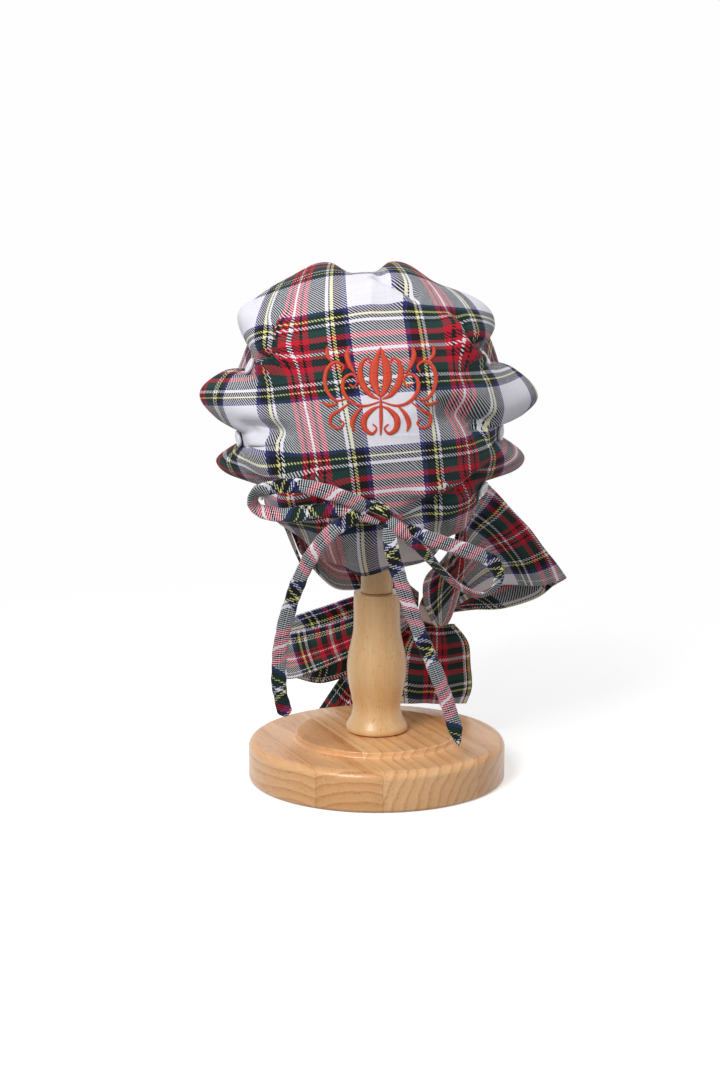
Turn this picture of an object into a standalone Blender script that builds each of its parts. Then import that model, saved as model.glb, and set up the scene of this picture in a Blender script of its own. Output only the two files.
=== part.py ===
# A bonnet with a buttoned crown, on a turned wooden stand.
# Metres. The bonnet's back faces -Y, its face opening +Y, the base's underside is z = 0.
import bisect
import math

import bmesh
import bpy
from mathutils import Matrix, Vector

for old in list(bpy.data.objects):
    bpy.data.objects.remove(old, do_unlink=True)

# Sizes of the stand
BASE_DIAMETER = 0.178
BASE_THICKNESS = 0.028
BASE_TOP_ROUND = 0.006
BASE_FOOT_ROUND = 0.0025
STEP_DIAMETER = 0.113
STEP_HEIGHT = 0.0045
STEP_ROUND = 0.0012
POST_HEIGHT = 0.098
POST_DIAMETER = 0.0416
DOWEL_DIAMETER = 0.022
KNOB_DIAMETER = 0.046

# Sizes of the bonnet
CLOTH = 0.0016
GAP = 0.0004
PANEL_HEIGHT = 0.252
PANEL_OFFSET = -0.0055
CROWN_REACH = 0.087
CROWN_DEPTH = 0.082
BRIM_HALF_WIDTH = 0.0835
BRIM_RISE = 0.074
BRIM_FORWARD = 0.097
BUTTON_DIAMETER = 0.0114
BUTTON_THICKNESS = 0.0026

# Sizes of the ties
NAPE_TIE_WIDTH = 0.0088
NAPE_TIE_THICKNESS = 0.0030
NAPE_BOW_REACH = 0.096
NAPE_KNOT_OFFSET = 0.0115
CHIN_TIE_CLOTH = 0.0016
CHIN_BOW_REACH = 0.100
CHIN_KNOT_OFFSET = 0.0425
CHIN_KNOT_HEIGHT = 0.104
CHIN_KNOT_INSET = 0.015
CHIN_KNOT_SIZE = 0.0230

STEP_TOP = BASE_THICKNESS + STEP_HEIGHT

part = bpy.data.collections.new("bonnet_on_wooden_stand")
bpy.context.scene.collection.children.link(part)
cutters = bpy.data.collections.new("cutters")
bpy.context.scene.collection.children.link(cutters)
cutters.hide_render = True


# Materials and shared helpers
def material(name, colour, roughness):
    made = bpy.data.materials.new(name)
    made.use_nodes = True
    shader = made.node_tree.nodes["Principled BSDF"]
    shader.inputs["Base Color"].default_value = (*colour, 1.0)
    shader.inputs["Roughness"].default_value = roughness
    return made


def add_mesh(name, points, faces, look, home=part, edges=()):
    mesh = bpy.data.meshes.new(name)
    mesh.from_pydata([tuple(point) for point in points], list(edges), faces)
    mesh.update()
    made = bpy.data.objects.new(name, mesh)
    home.objects.link(made)
    if look is not None:
        mesh.materials.append(look)
    for face in mesh.polygons:
        face.use_smooth = True
    return made


def turned(name, profile, steps, look, home=part):
    """A profile of (radius, height) from the top of the axis round to its foot, spun about Z."""
    points = [(radius, 0.0, height) for radius, height in profile]
    edges = [(index, index + 1) for index in range(len(points) - 1)]
    made = add_mesh(name, points, [], look, home, edges)
    spin = made.modifiers.new("turn", "SCREW")
    spin.axis = "Z"
    spin.angle = math.tau
    spin.steps = steps
    spin.render_steps = steps
    spin.use_merge_vertices = True
    spin.merge_threshold = 0.00005
    spin.use_normal_calculate = True
    spin.use_smooth_shade = True
    return made


def arc(centre_r, centre_z, radius, start, end, count):
    """Points of a rounded edge, angles in degrees from +r towards +z."""
    points = []
    for index in range(count + 1):
        angle = math.radians(start + (end - start) * index / count)
        points.append((centre_r + radius * math.cos(angle), centre_z + radius * math.sin(angle)))
    return points


def curve_through(rows, position):
    """Catmull-Rom through rows of numbers, position 0 at the first row and 1 at the last."""
    spot = max(0.0, min(1.0, position)) * (len(rows) - 1)
    index = min(int(spot), len(rows) - 2)
    part_way = spot - index
    first = rows[max(index - 1, 0)]
    second = rows[index]
    third = rows[index + 1]
    fourth = rows[min(index + 2, len(rows) - 1)]
    values = []
    for a, b, c, d in zip(first, second, third, fourth):
        slope_in = (c - a) / 2
        slope_out = (d - b) / 2
        t = part_way
        values.append(b * (2 * t**3 - 3 * t**2 + 1) + slope_in * (t**3 - 2 * t**2 + t)
                      + c * (3 * t**2 - 2 * t**3) + slope_out * (t**3 - t**2))
    return values


def sheet(name, grid, thickness, look, ring=False, hub=None):
    """Cloth from rows of points, thickened both ways; ring joins the last row to the first."""
    columns = len(grid[0])
    points = [point for row in grid for point in row]
    faces = []
    last = len(grid) if ring else len(grid) - 1
    for row in range(last):
        here = row * columns
        there = ((row + 1) % len(grid)) * columns
        for column in range(columns - 1):
            faces.append((here + column, here + column + 1, there + column + 1, there + column))
        if hub is not None:
            faces.append((len(points), here, there))
    if hub is not None:
        points.append(hub)
    made = add_mesh(name, points, faces, look)
    wall = made.modifiers.new("cloth", "SOLIDIFY")
    wall.thickness = thickness
    wall.offset = 0.0
    return made


tartan = material("tartan_cotton", (0.55, 0.14, 0.16), 0.85)
base_wood = material("base_wood", (0.70, 0.40, 0.18), 0.45)
post_wood = material("post_wood", (0.74, 0.50, 0.28), 0.45)
button_look = material("button_white", (0.80, 0.79, 0.82), 0.30)

# The stand: a round base with a low disc on it, and a turned post
base_radius = BASE_DIAMETER / 2
step_radius = STEP_DIAMETER / 2
base_profile = [(0.0, STEP_TOP)]
base_profile += arc(step_radius - STEP_ROUND, STEP_TOP - STEP_ROUND, STEP_ROUND, 90, 0, 2)
base_profile += [(step_radius + STEP_ROUND / 2, BASE_THICKNESS)]
base_profile += arc(base_radius - BASE_TOP_ROUND, BASE_THICKNESS - BASE_TOP_ROUND, BASE_TOP_ROUND, 90, 0, 4)
base_profile += arc(base_radius - BASE_FOOT_ROUND, BASE_FOOT_ROUND, BASE_FOOT_ROUND, 0, -90, 2)
base_profile += [(0.0, 0.0)]
turned("stand_base", base_profile, 56, base_wood)

# Columns: share of POST_DIAMETER's radius, share of POST_HEIGHT above the step
POST_PROFILE = (
    ("foot_under", 0.985, 0.004), ("foot_low", 1.026, 0.014), ("foot_high", 1.010, 0.044),
    ("foot_in", 0.900, 0.082), ("waist", 0.793, 0.155), ("waist_up", 0.835, 0.245),
    ("belly_low", 0.940, 0.345), ("belly", 1.000, 0.455), ("belly_high", 0.950, 0.560),
    ("shoulder", 0.850, 0.650), ("neck", 0.786, 0.725), ("neck_up", 0.772, 0.800),
    ("top", 0.769, 1.000),
)
post_foot = STEP_TOP + GAP
post_profile = [(0.0, post_foot + POST_HEIGHT)]
for _, wide, high in reversed(POST_PROFILE):
    post_profile.append((wide * POST_DIAMETER / 2, post_foot + high * POST_HEIGHT))
post_profile[-1] = (post_profile[-1][0], post_foot)
post_profile.append((0.0, post_foot))
turned("stand_post", post_profile, 36, post_wood)

# The crown, one cloth: back panel, petals between the buttons, gathered nape and its ruffle.
# One row for each button, petal crest and hem point, round the panel's middle from +X to +Z.
# Columns: angle; edge reach, edge depth, pull reach, pull depth as shares of CROWN_REACH and
# CROWN_DEPTH (the pull is the curve's handle behind the edge); 1 where the cloth turns sharply.
CROWN_ROWS = (
    ("button_right_mid", -4.7, 1.005, 0.045, 1.050, -0.680, 1),
    ("petal_right_low_side", 1.0, 1.190, 0.010, 1.030, -0.640, 0),
    ("petal_right_tip", 7.5, 1.318, -0.020, 0.990, -0.640, 0),
    ("petal_right_high_side", 18.0, 1.190, 0.020, 1.010, -0.640, 0),
    ("button_right_high", 29.0, 0.985, 0.050, 1.060, -0.680, 1),
    ("lobe_right", 35.6, 1.190, 0.060, 1.080, -0.640, 0),
    ("corner_right", 43.5, 1.245, 0.070, 1.130, -0.640, 0),
    ("roof_right", 63.0, 1.150, 0.110, 1.200, -0.620, 0),
    ("crest_right", 82.0, 1.200, 0.130, 1.230, -0.620, 0),
    ("button_top", 92.7, 0.935, 0.190, 1.560, -0.500, 1),
    ("crest_left", 104.0, 1.215, 0.130, 1.250, -0.620, 0),
    ("roof_left", 120.0, 1.235, 0.110, 1.200, -0.620, 0),
    ("corner_left", 133.5, 1.265, 0.070, 1.130, -0.640, 0),
    ("lobe_left", 142.0, 1.285, 0.060, 1.060, -0.640, 0),
    ("button_left_high", 154.7, 0.985, 0.050, 1.060, -0.680, 1),
    ("petal_left_high_side", 163.0, 1.190, 0.020, 1.010, -0.640, 0),
    ("petal_left_tip", 171.8, 1.325, -0.020, 0.990, -0.640, 0),
    ("petal_left_low_side", 180.0, 1.190, 0.010, 1.030, -0.640, 0),
    ("button_left_mid", 187.5, 1.005, 0.045, 1.040, -0.680, 1),
    ("lip_left", 196.0, 1.235, -0.060, 1.000, -0.700, 0),
    ("button_left_low", 212.0, 0.985, -0.190, 1.040, -0.760, 1),
    ("hem_left_tuck", 218.0, 1.010, -0.370, 0.960, -0.800, 0),
    ("hem_left_side", 224.0, 1.020, -0.440, 0.920, -0.800, 0),
    ("hem_left_fold", 231.0, 1.025, -0.500, 0.860, -0.790, 0),
    ("hem_left", 246.0, 1.065, -0.640, 0.830, -0.780, 0),
    ("hem_low", 264.0, 1.135, -0.710, 0.830, -0.780, 0),
    ("hem_middle", 278.0, 1.140, -0.725, 0.830, -0.780, 0),
    ("hem_right", 293.5, 1.120, -0.650, 0.830, -0.780, 0),
    ("hem_right_fold", 306.0, 1.085, -0.560, 0.850, -0.780, 0),
    ("hem_right_side", 317.0, 1.070, -0.450, 0.920, -0.800, 0),
    ("hem_right_tuck", 323.5, 1.045, -0.370, 0.960, -0.800, 0),
    ("button_right_low", 330.0, 1.005, -0.190, 1.040, -0.760, 1),
    ("lip_right", 345.0, 1.250, -0.060, 1.000, -0.700, 0),
)
# Columns: angle, angle width, share along the spoke, share width, depth as a share of CROWN_DEPTH
CROWN_FOLDS = (
    ("right_valley", 8.0, 11.0, 0.66, 0.16, 0.075),
    ("right_ridge", 20.0, 8.0, 0.66, 0.18, -0.035),
    ("left_valley", 170.0, 11.0, 0.66, 0.15, 0.050),
    ("left_high_fold", 146.0, 7.0, 0.74, 0.16, 0.060),
    ("right_high_fold", 37.0, 7.0, 0.74, 0.16, 0.055),
    ("left_low_fold", 203.0, 9.0, 0.70, 0.17, 0.060),
    ("right_low_fold", 338.0, 9.0, 0.70, 0.17, 0.050),
    ("top_fold", 96.0, 7.0, 0.60, 0.20, 0.030),
)
BUTTON_FLAT = 3.6
CASING_SHARE = 0.580
CASING_PINCH = 0.070
RUFFLE_WAVES = 25.0
RUFFLE_SWING = 0.055


def crown_row(angle):
    """Edge and pull of the crown's cloth at one angle, in degrees, from the table of rows."""
    count = len(CROWN_ROWS)
    starts = [row[1] for row in CROWN_ROWS]
    turn = (angle - starts[0]) % 360.0 + starts[0]
    index = bisect.bisect_right(starts, turn) - 1
    rows = [CROWN_ROWS[(index + shift) % count] for shift in (-1, 0, 1, 2)]
    before, start, end, after = rows
    start_angle = start[1] + (BUTTON_FLAT if start[6] else 0.0)
    span = (end[1] - start[1]) % 360.0
    end_angle = start[1] + span - (BUTTON_FLAT if end[6] else 0.0)
    wide = end_angle - start_angle
    t = max(0.0, min(1.0, (turn - start_angle) / wide))
    gap_before = (start[1] - before[1]) % 360.0
    gap_after = (after[1] - end[1]) % 360.0
    values = []
    for column in range(2, 6):
        rise = end[column] - start[column]
        slope_in = (end[column] - before[column]) / (gap_before + span) * wide
        slope_out = (after[column] - start[column]) / (gap_after + span) * wide
        if start[6]:
            slope_in = rise * 1.5
        if end[6]:
            slope_out = rise * 1.5
        values.append(start[column] * (2 * t**3 - 3 * t**2 + 1) + slope_in * (t**3 - 2 * t**2 + t)
                      + end[column] * (3 * t**2 - 2 * t**3) + slope_out * (t**3 - t**2))
    return values


def bump(distance, width):
    return math.exp(-(distance / width) ** 2)


def crown_point(angle, share):
    """Point of the crown's middle surface, share 0 at the panel's middle and 1 at the edge."""
    edge_reach, edge_depth, pull_reach, pull_depth = crown_row(angle)
    t = share
    u = 1.0 - t
    reach = 3 * u * u * t * 0.56 + 3 * u * t * t * pull_reach + t**3 * edge_reach
    depth = -(u**3) - 3 * u * u * t * 1.03 + 3 * u * t * t * pull_depth + t**3 * edge_depth
    push = 0.0
    for _, at, wide, along, long, deep in CROWN_FOLDS:
        away = (angle - at + 180.0) % 360.0 - 180.0
        push += deep * bump(away, wide) * bump(share - along, long)
    below = abs((angle - 271.5 + 180.0) % 360.0 - 180.0)
    nape = 1.0 / (1.0 + math.exp((below - 43.0) / 3.0))
    push += nape * CASING_PINCH * bump(share - CASING_SHARE, 0.075)
    loose = max(0.0, (share - CASING_SHARE) / (1.0 - CASING_SHARE))
    wave = math.sin(math.radians(angle * RUFFLE_WAVES) + 0.9 * math.sin(math.radians(angle * 7.0)))
    gather = bump(share - CASING_SHARE + 0.10, 0.10) * 0.010
    push += nape * wave * (RUFFLE_SWING * loose**0.8 + gather)
    lean = math.radians(82.0) * min(1.0, share * 0.9) * (1.0 - 0.75 * nape)
    reach -= push * math.sin(lean) * CROWN_DEPTH / CROWN_REACH
    depth += push * math.cos(lean)
    turn = math.radians(angle)
    return Vector((PANEL_OFFSET + CROWN_REACH * reach * math.cos(turn), CROWN_DEPTH * depth,
                   PANEL_HEIGHT + CROWN_REACH * reach * math.sin(turn)))


def crown_normal(angle, share):
    along = crown_point(angle, share + 0.02) - crown_point(angle, share - 0.02)
    across = crown_point(angle + 1.0, share) - crown_point(angle - 1.0, share)
    out = along.cross(across).normalized()
    return out if out.y < 0.35 else -out


def crown_angles():
    """Spokes of the crown: three at each button, more where petals turn and the ruffle waves."""
    angles = []
    for index, row in enumerate(CROWN_ROWS):
        following = CROWN_ROWS[(index + 1) % len(CROWN_ROWS)]
        span = (following[1] - row[1]) % 360.0
        start = row[1] + (BUTTON_FLAT if row[6] else 0.0)
        end = row[1] + span - (BUTTON_FLAT if following[6] else 0.0)
        pieces = max(1, round((end - start) / (3.6 if 210.0 < row[1] < 330.0 else 5.2)))
        if row[6]:
            angles.append(row[1])
        for step in range(pieces):
            angles.append(start + (end - start) * step / pieces)
        if following[6]:
            angles.append(end)
    return angles


CROWN_RINGS = (0.14, 0.30, 0.43, 0.51, 0.58, 0.66, 0.75, 0.85, 0.93, 1.0)
spokes = crown_angles()
crown_grid = [[crown_point(angle, share) for share in CROWN_RINGS] for angle in spokes]
sheet("crown", crown_grid, CLOTH, tartan, ring=True, hub=crown_point(0.0, 0.0))

# The brim, one cloth: a band round the head that flares forward, open under the chin.
# One row for each station from the top down one side; columns: half-width and height over the
# panel's middle at the back edge, its depth, then the same at the front edge, as shares of
# BRIM_HALF_WIDTH, BRIM_RISE and BRIM_FORWARD.
BRIM_ROWS = (
    ("top", 0.000, 1.000, -0.180, 0.000, 1.200, 1.000),
    ("crown_side", 0.400, 0.934, -0.180, 0.500, 1.100, 1.010),
    ("upper", 0.670, 0.765, -0.180, 0.900, 0.800, 1.020),
    ("temple", 0.850, 0.530, -0.190, 1.090, 0.380, 1.010),
    ("wide", 0.980, 0.160, -0.210, 1.170, -0.080, 0.980),
    ("ear", 0.968, -0.220, -0.230, 1.040, -0.560, 0.900),
    ("cheek", 0.820, -0.560, -0.260, 0.830, -1.020, 0.780),
    ("corner", 0.790, -0.870, -0.240, 0.640, -1.550, 0.545),
)
BRIM_HOLLOW = 0.030
BRIM_LEAN = 0.0065


def brim_point(around, across):
    """Point of the brim's middle surface: around -1 to 1 corner to corner, across back to front."""
    row = curve_through([row[1:] for row in BRIM_ROWS], abs(around))
    side = -1.0 if around < 0 else 1.0
    blend = across**1.15
    hollow = 1.0 - BRIM_HOLLOW * math.sin(math.pi * across)
    half = (row[0] + (row[3] - row[0]) * blend) * hollow
    high = (row[1] + (row[4] - row[1]) * blend) * (hollow if row[1] > 0 else 1.0)
    deep = row[2] + (row[5] - row[2]) * across
    drop = max(0.0, -high) / 1.55
    return Vector((PANEL_OFFSET + BRIM_LEAN * drop + side * half * BRIM_HALF_WIDTH,
                   deep * BRIM_FORWARD, PANEL_HEIGHT + high * BRIM_RISE))


brim_grid = []
for index in range(37):
    around = -1.0 + 2.0 * index / 36
    brim_grid.append([brim_point(around, step / 6) for step in range(7)])
sheet("brim", brim_grid, CLOTH, tartan)

# The hidden dowel stands on the post; the brim's arch rests on its plain round knob.
# Columns: share of KNOB_DIAMETER's radius, drop below the knob's top as a share of that radius
KNOB_PROFILE = (
    (0.0, 0.0), (0.34, 0.035), (0.66, 0.170), (0.90, 0.380), (1.0, 0.620), (0.92, 0.900),
)
dowel_foot = post_foot + POST_HEIGHT + GAP
dowel_radius = DOWEL_DIAMETER / 2
knob_radius = KNOB_DIAMETER / 2


def knob_drop(reach):
    """How far the knob's dome lies below its top at a distance from its axis."""
    for (r0, d0), (r1, d1) in zip(KNOB_PROFILE[:4], KNOB_PROFILE[1:5]):
        if reach <= r1 * knob_radius:
            return knob_radius * (d0 + (d1 - d0) * (reach / knob_radius - r0) / (r1 - r0))
    return None


knob_top = PANEL_HEIGHT + 2 * BRIM_RISE
for row in range(len(brim_grid) - 1):
    for column in range(len(brim_grid[0]) - 1):
        corners = (brim_grid[row][column], brim_grid[row][column + 1],
                   brim_grid[row + 1][column], brim_grid[row + 1][column + 1])
        if min(corner.z for corner in corners) < PANEL_HEIGHT + BRIM_RISE * 0.7:
            continue
        for step in range(49):
            u = (step % 7) / 6
            v = (step // 7) / 6
            spot = corners[0].lerp(corners[1], u).lerp(corners[2].lerp(corners[3], u), v)
            drop = knob_drop(math.hypot(spot.x, spot.y))
            if drop is not None:
                knob_top = min(knob_top, spot.z + drop - CLOTH / 2 - GAP)
dowel_profile = [(reach * knob_radius, knob_top - drop * knob_radius) for reach, drop in KNOB_PROFILE]
dowel_profile += [(dowel_radius, knob_top - 1.25 * knob_radius), (dowel_radius, dowel_foot), (0.0, dowel_foot)]
turned("support_dowel", dowel_profile, 28, post_wood)

# The buttons: flat turned discs with a rim, a dish and four sewing holes, sewn on the crown.
# Columns: angle of its spoke, share along the spoke, lift over the cloth as a share of thickness
BUTTONS = (
    ("button_1", -4.7, 0.835, 0.25),
    ("button_2", 29.0, 0.835, 0.25),
    ("button_3", 92.7, 0.96, 0.25),
    ("button_4", 154.7, 0.835, 0.25),
    ("button_5", 187.5, 0.835, 0.25),
    ("button_6", 212.0, 0.84, 0.25),
    ("button_7", 330.0, 0.84, 0.25),
)
button_radius = BUTTON_DIAMETER / 2
half_thick = BUTTON_THICKNESS / 2
hole_radius = BUTTON_DIAMETER * 0.062
hole_reach = BUTTON_DIAMETER * 0.135
for name, angle, share, lift in BUTTONS:
    profile = [(0.0, half_thick * 0.35), (button_radius * 0.56, half_thick * 0.40)]
    profile += [(button_radius * 0.78, half_thick), (button_radius, half_thick * 0.30)]
    profile += [(button_radius * 0.88, -half_thick)]
    profile += [(0.0, -half_thick)]
    button = turned(name, profile, 16, button_look)
    out = crown_normal(angle, share)
    away = CLOTH / 2 + GAP + half_thick * (1 + lift)
    place = Matrix.Translation(crown_point(angle, share) + out * away)
    place = place @ out.to_track_quat("Z", "Y").to_matrix().to_4x4()
    button.matrix_world = place
    holes = bmesh.new()
    for turn in range(4):
        spot = math.radians(45 + 90 * turn)
        shift = Matrix.Translation((hole_reach * math.cos(spot), hole_reach * math.sin(spot), 0.0))
        bmesh.ops.create_cone(holes, cap_ends=True, segments=6, radius1=hole_radius,
                              radius2=hole_radius, depth=BUTTON_THICKNESS * 3, matrix=shift)
    mesh = bpy.data.meshes.new(name + "_holes")
    holes.to_mesh(mesh)
    holes.free()
    cutter = bpy.data.objects.new(name + "_holes", mesh)
    cutters.objects.link(cutter)
    cutter.matrix_world = place
    cutter.display_type = "WIRE"
    cutter.hide_render = True
    drill = button.modifiers.new("holes", "BOOLEAN")
    drill.operation = "DIFFERENCE"
    drill.solver = "EXACT"
    drill.object = cutter

# The narrow tie at the nape, a flat tube of bias-cut cloth tied in a bow.
# Columns: x and z from the knot as shares of NAPE_BOW_REACH (a tail's z is a share of the drop
# from the knot to the stand), depth as a share of CROWN_DEPTH, and the turn of the tie's face in
# degrees from upright (0) to lying flat (90).
NAPE_KNOT = (NAPE_KNOT_OFFSET, -0.945 * CROWN_DEPTH, PANEL_HEIGHT - 0.667 * CROWN_REACH)
NAPE_TIES = {
    "nape_loop_left": (
        (-0.075, 0.028, -0.960, 10), (-0.190, 0.105, -1.020, 5), (-0.333, 0.200, -1.090, 0),
        (-0.650, 0.282, -1.110, 0), (-0.900, 0.270, -1.040, 0), (-1.000, 0.190, -0.960, 10),
        (-0.950, 0.075, -0.920, 15), (-0.740, -0.010, -0.940, 15), (-0.420, -0.010, -1.010, 5),
        (-0.220, 0.010, -1.010, 5), (-0.105, -0.035, -0.980, 10),
    ),
    "nape_loop_right": (
        (0.078, -0.018, -0.955, 0), (0.200, -0.060, -0.960, 0), (0.414, -0.154, -0.900, 0),
        (0.640, -0.275, -0.820, 0), (0.740, -0.400, -0.780, 0), (0.720, -0.520, -0.765, 0),
        (0.570, -0.600, -0.780, 0), (0.395, -0.520, -0.820, 0), (0.254, -0.345, -0.890, 0),
        (0.150, -0.190, -0.945, 0), (0.080, -0.110, -0.975, 0),
    ),
    "nape_tail_left": (
        (-0.085, -0.053, -1.005, 10), (-0.200, -0.053, -1.090, 5), (-0.385, -0.042, -1.120, 0),
        (-0.560, -0.143, -1.080, 0), (-0.690, -0.291, -0.990, 0), (-0.780, -0.499, -0.900, 0),
        (-0.800, -0.684, -0.840, 0), (-0.755, -0.826, -0.800, 0),
    ),
    "nape_tail_right": (
        (0.000, -0.044, -0.966, 0), (0.010, -0.131, -0.980, 0), (0.060, -0.285, -0.940, 0),
        (0.130, -0.452, -0.890, 0), (0.290, -0.672, -0.835, 0), (0.440, -0.868, -0.805, 0),
        (0.480, -0.957, -0.790, 0),
    ),
}
NAPE_PINCH = 0.35


def ribbon(name, rows, width, thickness, pieces, look, end_share=1.0):
    """A flat tie swept along rows of (x, y, z, turn); its width stands square to its run."""
    grid = []
    for index in range(pieces + 1):
        at = index / pieces
        x, y, z, turn = curve_through(rows, at)
        here = Vector((x, y, z))
        ahead = Vector(curve_through(rows, min(1.0, at + 0.01))[:3])
        behind = Vector(curve_through(rows, max(0.0, at - 0.01))[:3])
        run = (ahead - behind).normalized()
        back = Vector((0.0, -1.0, 0.0))
        side = run.cross(back).normalized()
        face = side.cross(run).normalized()
        tilt = math.radians(turn)
        side = side * math.cos(tilt) + face * math.sin(tilt)
        narrow = 1.0 - NAPE_PINCH * bump(at, 0.05)
        if end_share == 1.0:
            narrow -= NAPE_PINCH * bump(1.0 - at, 0.05)
        elif at > 0.94:
            narrow -= (1.0 - end_share) * ((at - 0.94) / 0.06) ** 2
        grid.append([here - side * width / 2 * narrow, here + side * width / 2 * narrow])
    return sheet(name, grid, thickness, look)


for name, rows in NAPE_TIES.items():
    tail = "tail" in name
    drop = NAPE_KNOT[2] - STEP_TOP if tail else NAPE_BOW_REACH
    path = [(NAPE_KNOT[0] + x * NAPE_BOW_REACH, y * CROWN_DEPTH, NAPE_KNOT[2] + z * drop, turn)
            for x, z, y, turn in rows]
    ribbon(name, path, NAPE_TIE_WIDTH, NAPE_TIE_THICKNESS, 14 if tail else 22, tartan,
           0.45 if tail else 1.0)


def knot(name, centre, sizes, lean, look):
    """A tied knot: a squashed ball with a waist where the tie wraps round it."""
    ball = bmesh.new()
    bmesh.ops.create_uvsphere(ball, u_segments=14, v_segments=8, radius=1.0)
    for vert in ball.verts:
        wrap = 1.0 + 0.07 * math.cos(4.0 * math.atan2(vert.co.z, vert.co.x))
        vert.co.x *= sizes[0] * wrap
        vert.co.y *= sizes[1]
        vert.co.z *= sizes[2] * wrap
    bmesh.ops.rotate(ball, verts=ball.verts, cent=(0.0, 0.0, 0.0),
                     matrix=Matrix.Rotation(math.radians(lean), 3, "Y"))
    bmesh.ops.translate(ball, verts=ball.verts, vec=centre)
    mesh = bpy.data.meshes.new(name)
    ball.to_mesh(mesh)
    ball.free()
    mesh.materials.append(look)
    for face in mesh.polygons:
        face.use_smooth = True
    made = bpy.data.objects.new(name, mesh)
    part.objects.link(made)
    return made


knot_radius = NAPE_TIE_WIDTH * 0.76
knot("nape_knot", NAPE_KNOT, (knot_radius, knot_radius * 0.70, knot_radius), 25, tartan)

# The wide chin ties: two straps from the brim's corners, a knot, two loops and two tails.
# Each row gives the strap's two edges as (x, y, z) from the knot in shares of CHIN_BOW_REACH.
CHIN_KNOT = (CHIN_KNOT_OFFSET, BASE_DIAMETER / 2 - CHIN_KNOT_INSET, CHIN_KNOT_HEIGHT)
CHIN_SEWN = {"chin_strap_left": -1.0, "chin_strap_right": 1.0}
CHIN_SEWN_LOW = 0.985
CHIN_SEWN_HIGH = 0.895
CHIN_SEWN_START = 0.74
CHIN_SEWN_END = 0.90
CHIN_TIES = {
    "chin_strap_left": (
        ((-0.740, -0.080, 0.160), (-0.760, -0.080, 0.450)), ((-0.530, 0.010, 0.115), (-0.540, 0.010, 0.370)),
        ((-0.330, 0.030, 0.080), (-0.335, 0.030, 0.270)), ((-0.120, 0.020, -0.010), (-0.116, 0.020, 0.100)),
    ),
    "chin_strap_right": (
        ((0.015, -0.120, 0.190), (0.060, -0.090, 0.340)), ((0.030, -0.070, 0.100), (0.060, -0.060, 0.170)),
    ),
    "chin_loop_right": (
        ((0.113, -0.035, -0.020), (0.109, -0.035, 0.080)), ((0.270, -0.080, 0.060), (0.210, -0.060, 0.400)),
        ((0.470, -0.090, 0.135), (0.290, -0.050, 0.650)), ((0.740, -0.050, 0.150), (0.340, 0.000, 0.790)),
        ((0.900, 0.000, 0.165), (0.360, 0.045, 0.865)), ((0.945, 0.060, 0.190), (0.370, 0.070, 0.880)),
        ((0.860, 0.130, 0.120), (0.350, 0.100, 0.865)), ((0.740, 0.170, 0.020), (0.330, 0.130, 0.780)),
        ((0.500, 0.190, -0.060), (0.270, 0.150, 0.560)), ((0.290, 0.150, -0.060), (0.190, 0.120, 0.320)),
        ((0.118, 0.055, -0.060), (0.108, 0.055, 0.050)),
    ),
    "chin_loop_left": (
        ((-0.113, -0.025, -0.065), (-0.119, -0.025, -0.020)), ((-0.400, -0.060, -0.250), (-0.420, -0.060, 0.070)),
        ((-0.700, -0.050, -0.390), (-0.760, -0.050, -0.020)), ((-0.960, 0.000, -0.510), (-1.060, 0.000, -0.120)),
        ((-1.065, 0.050, -0.555), (-1.145, 0.050, -0.150)), ((-1.020, 0.110, -0.560), (-1.100, 0.110, -0.110)),
        ((-0.800, 0.160, -0.610), (-0.820, 0.160, -0.060)), ((-0.500, 0.170, -0.480), (-0.460, 0.170, -0.020)),
        ((-0.130, 0.090, -0.110), (-0.130, 0.090, -0.010)),
    ),
    "chin_tail_left": (
        ((0.020, 0.058, -0.106), (-0.030, 0.062, -0.112)), ((-0.200, 0.255, -0.430), (-0.400, 0.255, -0.240)),
        ((-0.360, 0.265, -0.740), (-0.660, 0.265, -0.560)), ((-0.560, 0.220, -0.900), (-0.850, 0.220, -0.830)),
    ),
    "chin_tail_right": (
        ((-0.120, 0.022, -0.138), (0.140, 0.022, -0.134)), ((-0.220, -0.010, -0.290), (0.240, -0.010, -0.260)),
        ((-0.250, -0.030, -0.440), (0.260, -0.030, -0.430)), ((-0.260, -0.040, -0.590), (0.270, -0.040, -0.590)),
        ((-0.250, -0.030, -0.715), (0.230, -0.030, -0.715)),
    ),
}


def strap(name, rows, across, pieces, swell, look):
    """A wide tie between two edge lines, swelling a little in its middle."""
    low = [row[0] for row in rows]
    high = [row[1] for row in rows]
    grid = []
    for index in range(pieces + 1):
        at = index / pieces
        start = Vector(curve_through(low, at))
        end = Vector(curve_through(high, at))
        ahead = Vector(curve_through(low, min(1.0, at + 0.02)))
        behind = Vector(curve_through(low, max(0.0, at - 0.02)))
        out = (ahead - behind).cross(end - start).normalized()
        line = []
        for step in range(across + 1):
            share = step / across
            spot = start.lerp(end, share) + out * swell * math.sin(math.pi * share) * math.sin(math.pi * at)
            line.append(Vector(CHIN_KNOT) + spot * CHIN_BOW_REACH)
        grid.append(line)
    return sheet(name, grid, CHIN_TIE_CLOTH, look)


def brim_inside(around, across):
    """The strap's place where it is sewn inside the brim."""
    spot = brim_point(around, across)
    along = brim_point(around, across + 0.02) - brim_point(around, across - 0.02)
    rim = brim_point(around * 0.98, across) - spot
    inward = along.cross(rim).normalized()
    if inward.dot(Vector((PANEL_OFFSET, spot.y, PANEL_HEIGHT)) - spot) < 0.0:
        inward = -inward
    spot = spot + inward * ((CLOTH + CHIN_TIE_CLOTH) / 2 + GAP * 4.0)
    return (spot - Vector(CHIN_KNOT)) / CHIN_BOW_REACH


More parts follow.
